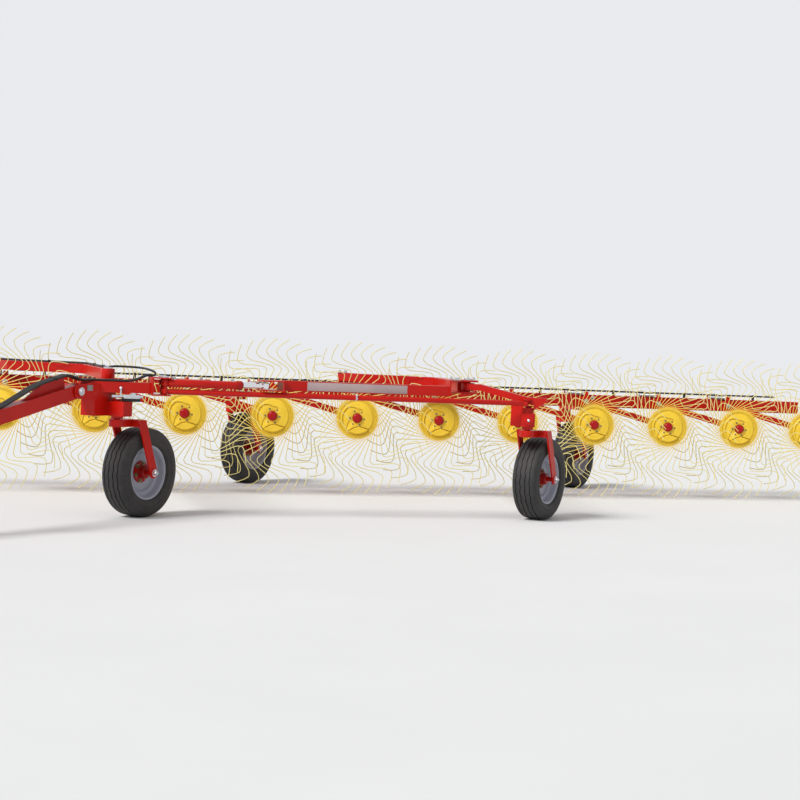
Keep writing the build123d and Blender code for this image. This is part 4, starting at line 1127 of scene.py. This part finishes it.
    def axle_ends(self, corner: str) -> None:
        """Set the bright nuts on both ends of an axle, on their bosses.

        Args:
            corner: Which caster.
        """
        hub = self.place(corner)
        sides = [hub, turned(hub)]
        start = self.fork_outside - 0.002
        face = self.fork_outside + self.boss_out
        outline = [(0, start), (self.boss_r, start), (self.boss_r, face - 0.002)]
        outline += [(self.boss_r - 0.004, face), (0, face)]
        bosses = Shell()
        for side in sides:
            bosses.turn(side, outline)
        bosses.done(f"{corner}_axle_bosses", RED, f"{corner}_caster")
        seats = [side @ Matrix.Translation((0, 0, face - 0.001)) for side in sides]
        bolts(f"{corner}_axle_nuts", seats, self.axle_nut, f"{corner}_caster", GALVANISED)

    def build(self) -> None:
        """Place the casters' pieces and dress their forks."""
        made = [
            (self.tyre(), TYRE_RUBBER, Slot.TYRE, "tyre"),
            (self.rim(), SHADED_SILVER, Slot.RIM_SILVER, "rim"),
            (self.hub(), SHADED_RED, Slot.ARM_RED, "rim"),
            (self.wheel_nuts(), DULL_ZINC, Slot.ZINC, "rim"),
        ]
        for corner in CORNERS:
            for data, finish, slot, node in made:
                name = f"{corner}_{data.name}_shape"
                piece = place_mesh(name, data, self.place(corner), finish, f"{corner}_wheel")
                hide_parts(f"{corner}_{node}")
            dress_node(f"{corner}_fork", RED)
            self.axle_ends(corner)


@dataclass
class WheelArms:
    """The arms behind the finger wheels, with their springs and bolts."""

    reach: float = 0.8
    offset: float = 0.095
    arm_half: float = 0.012
    pivot_h: float = 0.925
    ear_half: float = 0.0225
    pivot_bolt: float = 0.026
    spindle_nut: float = 0.032
    spring_h: float = 1.006
    spring_start: float = 0.82
    spring_length: float = 0.19
    spring_r: float = 0.0165
    hook: float = 0.022
    wire_r: float = 0.0035
    coils: int = 19
    coil_steps: int = 12

    def spring(self) -> bpy.types.Mesh:
        """Wind a tension spring along local X, with a hook at each end.

        Returns:
            The spring.
        """
        wound = self.spring_length - 2 * self.hook
        bent = self.hook * 0.6
        count = self.coils * self.coil_steps
        path = [Vector((x, 0, 0)) for x in (0.0, bent)]
        for i in range(count + 1):
            angle = FULL_TURN * i / self.coil_steps
            around = (self.spring_r * math.cos(angle), self.spring_r * math.sin(angle))
            path.append(Vector((self.hook + wound * i / count, *around)))
        path += [Vector((self.spring_length - x, 0, 0)) for x in (bent, 0.0)]
        shell = Shell()
        shell.tube(path, self.wire_r, 6)
        return shell.mesh("coil_spring")

    def build(self, wheels: FingerWheels) -> None:
        """Dress the arms, hang the springs and set the bolts.

        Args:
            wheels: The wheels that the arms carry.
        """
        dress_node("wheel_arms", RED)
        data = self.spring()
        pivots, seats = [], []
        for index in range(wheels.count):
            face = wheels.place(index)
            hang = face @ Vector((-self.spring_start, self.spring_h - wheels.hub_h, -self.offset))
            place = axes_at(hang, FACE_DIR, -PLANE_DIR)
            piece = place_mesh(f"coil_spring_{index + 1:02d}", data, place, ZINC, "frame")
            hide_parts("arm_springs")
            for sign in (1, -1):
                z = sign * self.ear_half - self.offset
                spot = face @ Vector((-self.reach, self.pivot_h - wheels.hub_h, z))
                pivots.append(axes_at(spot, FACE_DIR * sign, UP))
            seat = face @ Vector((0, 0, -self.offset - self.arm_half))
            seats.append(axes_at(seat, -FACE_DIR, UP))
        bolts("arm_pivot_bolts", pivots, self.pivot_bolt, "frame")
        bolts("spindle_nuts", seats, self.spindle_nut, "frame")


@dataclass
class Toolbar:
    """The long beam behind the row, with the bolts of the rear casters' brackets."""

    face_b: float = TOOLBAR_B - 0.06
    bolt_h: Pair = (0.90, 0.96)
    bolt_half: float = 0.035
    bolt: float = 0.022

    def build(self) -> None:
        """Dress the beam and bolt the brackets through it."""
        dress_node("toolbar", RED)
        sides = (-self.bolt_half, self.bolt_half)
        grid = product(REAR_S.values(), sides, self.bolt_h)
        seats = [facing(at(s + side, self.face_b, h), -BACK_DIR) for s, side, h in grid]
        bolts("bracket_bolts", seats, self.bolt, "frame")


@dataclass
class CrossingArms:
    """The two cranked arms between the front frame and the toolbar."""

    high_h: float = 1.115
    end_s: Pair = (-0.826, 2.35)
    bolt_half: float = 0.028
    bolt_b: Pair = (0.425, 0.462)
    bolt: float = 0.022
    swing_s: float = -0.1
    cap_r: float = 0.034
    cap_rim: float = 0.008

    def build(self) -> None:
        """Dress the arms, bolt them down and cap the right one's pin."""
        dress_node("crossing_arm_left", RED)
        dress_node("crossing_arm_right", RED)
        grid = product(self.end_s, (-self.bolt_half, self.bolt_half), self.bolt_b)
        seats = [upright(at(s + side, b, self.high_h)) for s, side, b in grid]
        bolts("pedestal_bolts", seats, self.bolt, "frame")
        pin = Shell()
        pin.greased_cap(upright(at(self.swing_s, SWING_B, self.high_h)), self.cap_r, self.cap_rim)
        pin.done("right_swing_pin_cap", ZINC, "frame")


@dataclass
class FrontBeam:
    """The square beam of the front frame, with its pale bare band."""

    low_h: float = 1.0
    size: float = 0.08
    band: Pair = (1.387, 2.198)
    band_margin: float = 0.007
    band_lift: float = 0.0006
    band_thick: float = 0.0016
    plate_high_h: float = 1.13
    swing_s: float = 2.81
    cap_r: float = 0.036
    cap_rim: float = 0.010
    eye_s: float = 1.06
    eye_h: float = 1.067
    bolt: float = 0.022
    bolt_at: Profile = ((2.62, -1.93), (2.66, -1.88), (2.70, -1.60), (2.90, -1.60))

    def build(self) -> None:
        """Dress the beam, lay the band on its front and set pins and bolts."""
        dress_node("front_beam", RED)
        first, last = self.band
        face_b = FRONT_B - self.size / 2 - self.band_lift
        middle = at((first + last) / 2, face_b, self.low_h + self.size / 2)
        size = (last - first, self.size - 2 * self.band_margin, self.band_thick)
        band = Shell()
        band.block(facing(middle, -BACK_DIR), size, 0.0007)
        band.done("pale_band", PALE, "frame")
        pins = Shell()
        swing = upright(at(self.swing_s, SWING_B, self.plate_high_h))
        pins.greased_cap(swing, self.cap_r, self.cap_rim)
        for b in CYLINDERS_B.values():
            pins.pin_head(upright(at(self.eye_s, b, self.eye_h)), 0.024, 0.008)
        pins.done("front_beam_pin_heads", ZINC, "frame")
        seats = [upright(at(s, b, self.plate_high_h)) for s, b in self.bolt_at]
        bolts("swing_plate_bolts", seats, self.bolt, "frame")


@dataclass
class Carriage:
    """The steered front carriage with its clamp lever, blank plate and pins."""

    clamp_at: Triple = (0.0, -1.99, 0.918)
    clamp_size: Triple = (0.12, 0.045, 0.03)
    clamp_middle: float = 0.045
    seat_size: Triple = (0.13, 0.1, 0.022)
    rod_r: float = 0.011
    handle_x: float = -0.035
    handle_r: float = 0.008
    ear_s: float = 0.29
    ear_h: float = 1.07
    split_pin_half: float = 0.03
    pivot_half: float = 0.077
    plate_size: Triple = (0.06, 0.042, 0.003)
    plate_at: Triple = (-0.104, 0.0665, 0.026)

    def clamp(self) -> None:
        """Build the galvanised clamp on the lower box, with its upright handle."""
        base = upright(at(*self.clamp_at))
        shell = Shell()
        shell.block(base @ Matrix.Translation((self.clamp_middle, 0, 0)), self.clamp_size, 0.004)
        rod = [base @ Vector((x, 0, 0)) for x in (-0.1, -0.02, 0.1, 0.13)]
        shell.tube(rod, self.rod_r, 14)
        handle = [base @ Vector((self.handle_x, 0, z)) for z in (0.0, 0.02, 0.045, 0.07)]
        shell.tube(handle, self.handle_r)
        knob = base @ Matrix.Translation((self.handle_x, 0, 0.062))
        shell.turn(knob, [(0, -0.012), (0.008, -0.01), (0.013, 0), (0.008, 0.01), (0, 0.012)], 14)
        nut = base @ Matrix.Translation((0.06, 0, 0.01))
        shell.turn(nut, [(0, 0), (0.022, 0), (0.022, 0.018), (0, 0.02)], 20)
        shell.done("box_clamp_lever", GALVANISED, "carriage")
        seat = Shell()
        middle = Matrix.Translation((self.clamp_middle, 0.03, -0.026))
        seat.block(base @ middle, self.seat_size, 0.002)
        seat.done("box_clamp_seat", BLACK, "carriage")

    def pin_heads(self) -> None:
        """Set the link pins' heads and the drawbar pin's bright ends."""
        shell = Shell()
        for b in CYLINDERS_B.values():
            top = upright(at(self.ear_s, b, self.ear_h))
            shell.pin_head(top, 0.026, 0.009)
            ends = (-self.split_pin_half, self.split_pin_half)
            shell.tube([top @ Vector((x, 0, 0.006)) for x in ends], 0.003, 6)
        outline = [(0, 0), (0.03, 0), (0.03, 0.006), (0.021, 0.008), (0.02, 0.014), (0, 0.015)]
        for sign in (1, -1):
            side = Vector((0, sign, 0))
            shell.turn(facing(BAR_PIVOT + side * self.pivot_half, side), outline, 28)
        shell.done("carriage_pin_heads", GALVANISED, "carriage")

    def build(self) -> None:
        """Dress the carriage and add what is fastened to it."""
        dress_node("carriage", RED)
        self.clamp()
        self.pin_heads()
        plate = Shell()
        face = BAR_PIVOT + Vector(self.plate_at)
        plate.block(facing(face, Vector((0, 1, 0))), self.plate_size, 0.001)
        plate.done("blank_plate", GREY_PLATE, "carriage")


@dataclass
class Links:
    """The steering tie and the two cylinders."""

    high: float = 1.03
    barrel_r: float = 0.03
    rod_bore_r: float = 0.0176
    barrel_ends: dict[str, float] = field(default_factory=lambda: {"front": 0.87, "rear": 0.655})
    port_s: float = 0.36
    tie_s: float = 1.77
    tie_b: float = -2.0
    tie_h: float = 0.965

    def collar(self, shell: Shell, start: Vector, length: float, extra: float) -> None:
        """Turn a gland ring on a barrel.

        Args:
            shell: Where the faces go.
            start: Where the ring's axis starts.
            length: Its length.
            extra: How far it stands proud.
        """
        radius, bore, chamfer = self.barrel_r + extra, self.rod_bore_r, 0.003
        profile = [(bore, 0), (radius - chamfer, 0), (radius, chamfer), (radius, length - chamfer)]
        profile += [(radius - chamfer, length), (bore, length), (bore, 0)]
        shell.turn(facing(start, ROW_DIR), profile)

    def cylinder(self, name: str, b: float, end_s: float) -> None:
        """Add the gland and the ports of a cylinder.

        Args:
            name: Which cylinder.
            b: Its place behind the row.
            end_s: Where its barrel ends.
        """
        glands = Shell()
        self.collar(glands, at(end_s - 0.045, b, self.high), 0.047, 0.004)
        self.collar(glands, at(end_s + 0.003, b, self.high), 0.008, -0.006)
        glands.done(f"{name}_cylinder_gland", SHADED_RED, f"{name}_barrel")
        ports = Shell()
        outline = [(0, 0), (0.013, 0), (0.013, 0.012), (0.009, 0.014), (0.009, 0.02), (0, 0.02)]
        for s in (self.port_s, end_s - 0.07):
            ports.turn(upright(at(s, b, self.high + self.barrel_r - 0.003)), outline, 6)
        ports.done(f"{name}_cylinder_ports", ZINC, f"{name}_barrel")

    def build(self) -> None:
        """Dress the nodes and add glands, ports and the tie's fitting."""
        for name in ("front_cylinder_barrel", "rear_cylinder_barrel", "steering_tie"):
            dress_node(name, RED, 0.0015)
        for name in ("front_cylinder_rod", "rear_cylinder_rod"):
            dress_node(name, CHROME, 0.0015)
        for name, end_s in self.barrel_ends.items():
            self.cylinder(name, CYLINDERS_B[name], end_s)
        fitting = Shell()
        ring = [(0.021, 0), (0.0235, 0.002), (0.0235, 0.012), (0.021, 0.014)]
        fitting.turn(facing(at(self.tie_s, self.tie_b, self.tie_h), ROW_DIR), ring, 28)
        spot = at(self.tie_s + 0.007, self.tie_b - 0.016, self.tie_h + 0.014)
        stub = [(0.009, 0), (0.009, 0.014), (0.006, 0.016), (0, 0.017)]
        fitting.turn(axes_at(spot, UP - BACK_DIR, ROW_DIR), stub, 8)
        fitting.done("tie_fitting", GALVANISED, "steering_tie")


@dataclass
class LeftArm:
    """The swinging arm of the left front caster, with its head's boss."""

    boss_h: float = 0.829
    boss_out: float = 0.073
    cap_r: float = 0.038

    def build(self) -> None:
        """Dress the arm and close its head's boss."""
        dress_node("left_arm", RED)
        face = at(LEFT_FRONT_S, FRONT_B, self.boss_h) + FACE_DIR * self.boss_out
        boss = facing(face, FACE_DIR)
        cap = Shell()
        outline = [(0, 0), (self.cap_r, 0), (self.cap_r, 0.004), (self.cap_r - 0.004, 0.008)]
        cap.turn(boss, [*outline, (0.016, 0.01), (0, 0.01)])
        cap.done("left_head_cap", RED, "left_arm")
        nipple = Shell()
        tip = boss @ Matrix.Translation((0.0, 0.0, 0.009))
        nipple.turn(tip, [(0.011, 0), (0.011, 0.006), (0.007, 0.009), (0.007, 0.016), (0, 0.019)], 12)
        nipple.done("left_head_nipple", GALVANISED, "left_arm")


@dataclass
class RearHeads:
    """The rear casters' brackets on the toolbar."""

    top_h: float = 0.947

    def build(self) -> None:
        """Dress the brackets and set a nipple on each kingpin."""
        dress_node("rear_heads", RED)
        nipples = Shell()
        outline = [(0.007, 0), (0.007, 0.012), (0.004, 0.016), (0, 0.017)]
        for s in REAR_S.values():
            nipples.turn(upright(at(s, REAR_B, self.top_h)), outline, 8)
        nipples.done("rear_head_nipples", ZINC, "frame")


@dataclass
class Drawbar:
    """The sloping drawbar with its clevis and jack."""

    jack_x: float = -1.12
    jack_y: float = 0.135
    tube_over_line: float = 0.17
    crank_r: float = 0.007
    crank_reach: float = 0.10
    pin_h: float = 0.052
    pin_low: float = -0.105
    pin_r: float = 0.0155
    loop_half: float = 0.018
    loop_r: float = 0.004

    def point(self, t: float, up: float, side: float) -> Vector:
        """Place a point by its distance from the pivot, height over the centre line and side."""
        way = -BAR_PIVOT.normalized()
        return BAR_PIVOT + way * t + Vector((-way.z, 0, way.x)) * up + Vector((0, side, 0))

    def jack(self) -> None:
        """Add the jack's crank, cap and grip."""
        dress_node("jack_tube", BLACK, 0.0015)
        dress_node("jack_leg", ZINC, 0.0015)
        line_z = BAR_PIVOT.z * self.jack_x / BAR_PIVOT.x
        top = Vector((self.jack_x, self.jack_y, line_z + self.tube_over_line))
        cap = Shell()
        lid = [(0, -0.002), (0.035, -0.002), (0.035, 0.018), (0.02, 0.026), (0, 0.027)]
        cap.turn(Matrix.Translation(top), lid)
        bends = ((0, 0.02), (0, 0.05), (0.02, 0.062), (self.crank_reach, 0.064))
        arm = [top + Vector((0, y, z)) for y, z in bends]
        cap.tube(smooth_path(arm, 4), self.crank_r)
        cap.done("jack_crank", BLACK, "jack")
        grip = Shell()
        knob = Matrix.Translation(top + Vector((0, self.crank_reach, 0.058)))
        profile = [(0, 0), (0.012, 0.002), (0.014, 0.02), (0.011, 0.06), (0.014, 0.085), (0, 0.09)]
        grip.turn(knob, profile, 20)
        grip.done("jack_grip", RED, "jack")

    def hitch_pin(self) -> None:
        """Set the loose hitch pin with its wire loop."""
        head = Matrix.Translation((0, 0, self.pin_h))
        pin = Shell()
        stem = [(0, self.pin_low), (self.pin_r, self.pin_low), (self.pin_r, 0), (0.028, 0)]
        pin.turn(head, [*stem, (0.028, 0.008), (0, 0.010)], 28)
        half = self.loop_half
        bend = ((-half, 0, 0.008), (-half, 0, 0.035), (half, 0, 0.035), (half, 0, 0.008))
        pin.tube(smooth_path([head @ Vector(p) for p in bend], 5), self.loop_r, 8)
        pin.done("hitch_pin", ZINC, "drawbar")

    def build(self) -> None:
        """Dress the drawbar, the clevis and the jack."""
        dress_node("drawbar", RED)
        dress_node("hitch_clevis", ZINC)
        self.jack()
        self.hitch_pin()


@dataclass
class Hoses:
    """The hoses, with the bends between the lengths that the solids have."""

    radius: float = 0.0085
    offsets: tuple[float, ...] = (-0.027, -0.009, 0.009, 0.027)
    bar_points: Profile = ((0.03, 0.122), (0.075, 0.1345), (0.101, 0.1345))
    steps: int = 8
    sides: int = 14

    def pivot_line(self, bar: Drawbar, side: float) -> list[Vector]:
        """Lead a hose from the carriage's strap over the pivot to the drawbar's rib.

        Args:
            bar: The drawbar that it lies on.
            side: How far it lies to the side of the middle.

        Returns:
            The points that it passes.
        """
        start = BAR_PIVOT + Vector((-0.091, side, 0.0845))
        line = [start, start + Vector((0.03, 0, 0.0))]
        return line + [bar.point(t, up, side) for t, up in self.bar_points]

    def swing_line(self) -> list[Vector]:
        """Lead the last hose from the carriage's bracket over the swing pin.

        Returns:
            The points that it passes.
        """
        start = at(0.2115, -1.861, 1.0795)
        line = [start, start + ROW_DIR * 0.022 + UP * 0.006, at(0.228, -1.82, 1.108)]
        line += [at(0.15, -1.745, 1.13), at(-0.02, -1.69, 1.135), at(-0.09, -1.67, 1.128)]
        return [*line, at(-0.1, -1.641, 1.1245)]

    def span(self, name: str, lines: Sequence[Sequence[Vector]], ends: tuple[str, str]) -> None:
        """Lay hoses from one body to another, as fixed pieces that follow neither body.

        Args:
            name: Name of the piece.
            lines: Where each hose passes, from the first body to the second.
            ends: The two bodies; the pieces are made on the first, then taken off it, and the second
                is not used.
        """
        shell = Shell()
        for line in lines:
            shell.tube(smooth_path(line, self.steps), self.radius, self.sides)
        piece = shell.done(name, HOSE_RUBBER, ends[0])
        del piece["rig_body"]
        piece.parent = None
        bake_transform(piece)

    def build(self, bar: Drawbar) -> None:
        """Dress the hoses and join them over the drawbar's pivot and the swing pin.

        Args:
            bar: The drawbar that some of them lie on.
        """
        for name in ("drawbar_hoses", "carriage_hoses", "frame_hose"):
            dress_node(name, HOSE_RUBBER, 0.0)
        lines = [self.pivot_line(bar, side) for side in self.offsets]
        self.span("pivot_hoses", lines, ("carriage", "drawbar"))
        self.span("swing_hose", [self.swing_line()], ("carriage", "frame"))


@dataclass
class Studio:
    """Floor, light and camera."""

    floor_z: float = -HITCH_HEIGHT
    floor_half: float = 60.0
    floor_colours: tuple[Colour, Colour] = ((0.80, 0.80, 0.79), (0.84, 0.84, 0.83))
    sun_way: Triple = (0.718, -0.258, 0.646)
    sun_strength: float = 2.8
    sun_soft: float = math.radians(20)
    sky: tuple[float, float, float, float] = (0.96, 0.97, 1.0, 1.0)
    world_strength: float = 0.45
    seen_strength: float = 0.85
    eye: Triple = (6.18, 7.36, 0.90)
    look: Pair = (-0.875, -0.485)
    drop: float = math.radians(1.9)
    roll: float = math.radians(2.5)
    lens: float = 67.5
    sensor: float = 36.0
    sight: float = 200.0

    def floor(self) -> None:
        """Lay the pale floor, cloudy enough not to look like a screen."""
        shell = Shell()
        half = self.floor_half
        corners = ((-half, -half), (half, -half), (half, half), (-half, half))
        shell.faces.faces.new([shell.faces.verts.new((x, y, self.floor_z)) for x, y in corners])
        data = shell.mesh("floor")
        graph = Graph("pale_floor")
        spread = graph.noise(0.6, 3).over(0.2, 0.8)
        graph.set(Base_Color=graph.mix(spread, *self.floor_colours), Roughness=0.9)
        data.materials.append(graph.material)
        put_in_scene("floor", data)

    def sun(self) -> None:
        """Set the sun."""
        sun = bpy.data.lights.new("key", "SUN")
        sun.energy = self.sun_strength
        sun.angle = self.sun_soft
        turn = Vector(self.sun_way).to_track_quat("Z", "Y")
        put_in_scene("key", sun).rotation_euler = turn.to_euler()

    def world(self) -> None:
        """Set the sky, which the camera, gloss and glass see paler than it lights."""
        world = bpy.data.worlds.new("studio")
        world.use_nodes = True
        bpy.context.scene.world = world
        tree = world.node_tree
        back = tree.nodes["Background"]
        back.inputs["Color"].default_value = self.sky
        rays = tree.nodes.new("ShaderNodeLightPath")
        seen = rays.outputs["Is Camera Ray"]
        for kind in ("Is Glossy Ray", "Is Transmission Ray"):
            either = tree.nodes.new("ShaderNodeMath")
            either.operation = "MAXIMUM"
            tree.links.new(seen, either.inputs[0])
            tree.links.new(rays.outputs[kind], either.inputs[1])
            seen = either.outputs[0]
        level = tree.nodes.new("ShaderNodeMapRange")
        level.inputs["To Min"].default_value = self.world_strength
        level.inputs["To Max"].default_value = self.seen_strength
        tree.links.new(seen, level.inputs["Value"])
        tree.links.new(level.outputs["Result"], back.inputs["Strength"])

    def camera(self) -> None:
        """Set the camera where the photograph was taken from."""
        camera = bpy.data.cameras.new("camera")
        camera.lens = self.lens
        camera.sensor_width = self.sensor
        camera.clip_end = self.sight
        flat = Vector((*self.look, 0)).normalized()
        way = flat * math.cos(self.drop) - UP * math.sin(self.drop)
        aim = way.to_track_quat("-Z", "Y").to_matrix().to_4x4()
        holder = put_in_scene("camera", camera)
        holder.matrix_world = Matrix.Translation(self.eye) @ aim @ Matrix.Rotation(self.roll, 4, "Z")
        bpy.context.scene.camera = holder

    def build(self) -> None:
        """Set up the studio."""
        self.floor()
        self.sun()
        self.world()
        self.camera()
        bpy.context.scene.view_settings.view_transform = "Standard"


def main() -> None:
    """Dress the frame, add the pieces, set the studio and report."""
    logging.basicConfig(level=logging.INFO, format="%(message)s")
    wheels = FingerWheels()
    bar = Drawbar()
    wheels.build()
    Casters().build()
    WheelArms().build(wheels)
    Toolbar().build()
    CrossingArms().build()
    FrontBeam().build()
    Carriage().build()
    Links().build()
    LeftArm().build()
    RearHeads().build()
    bar.build()
    Hoses().build(bar)
    Studio().build()


if __name__ == "__main__":
    main()
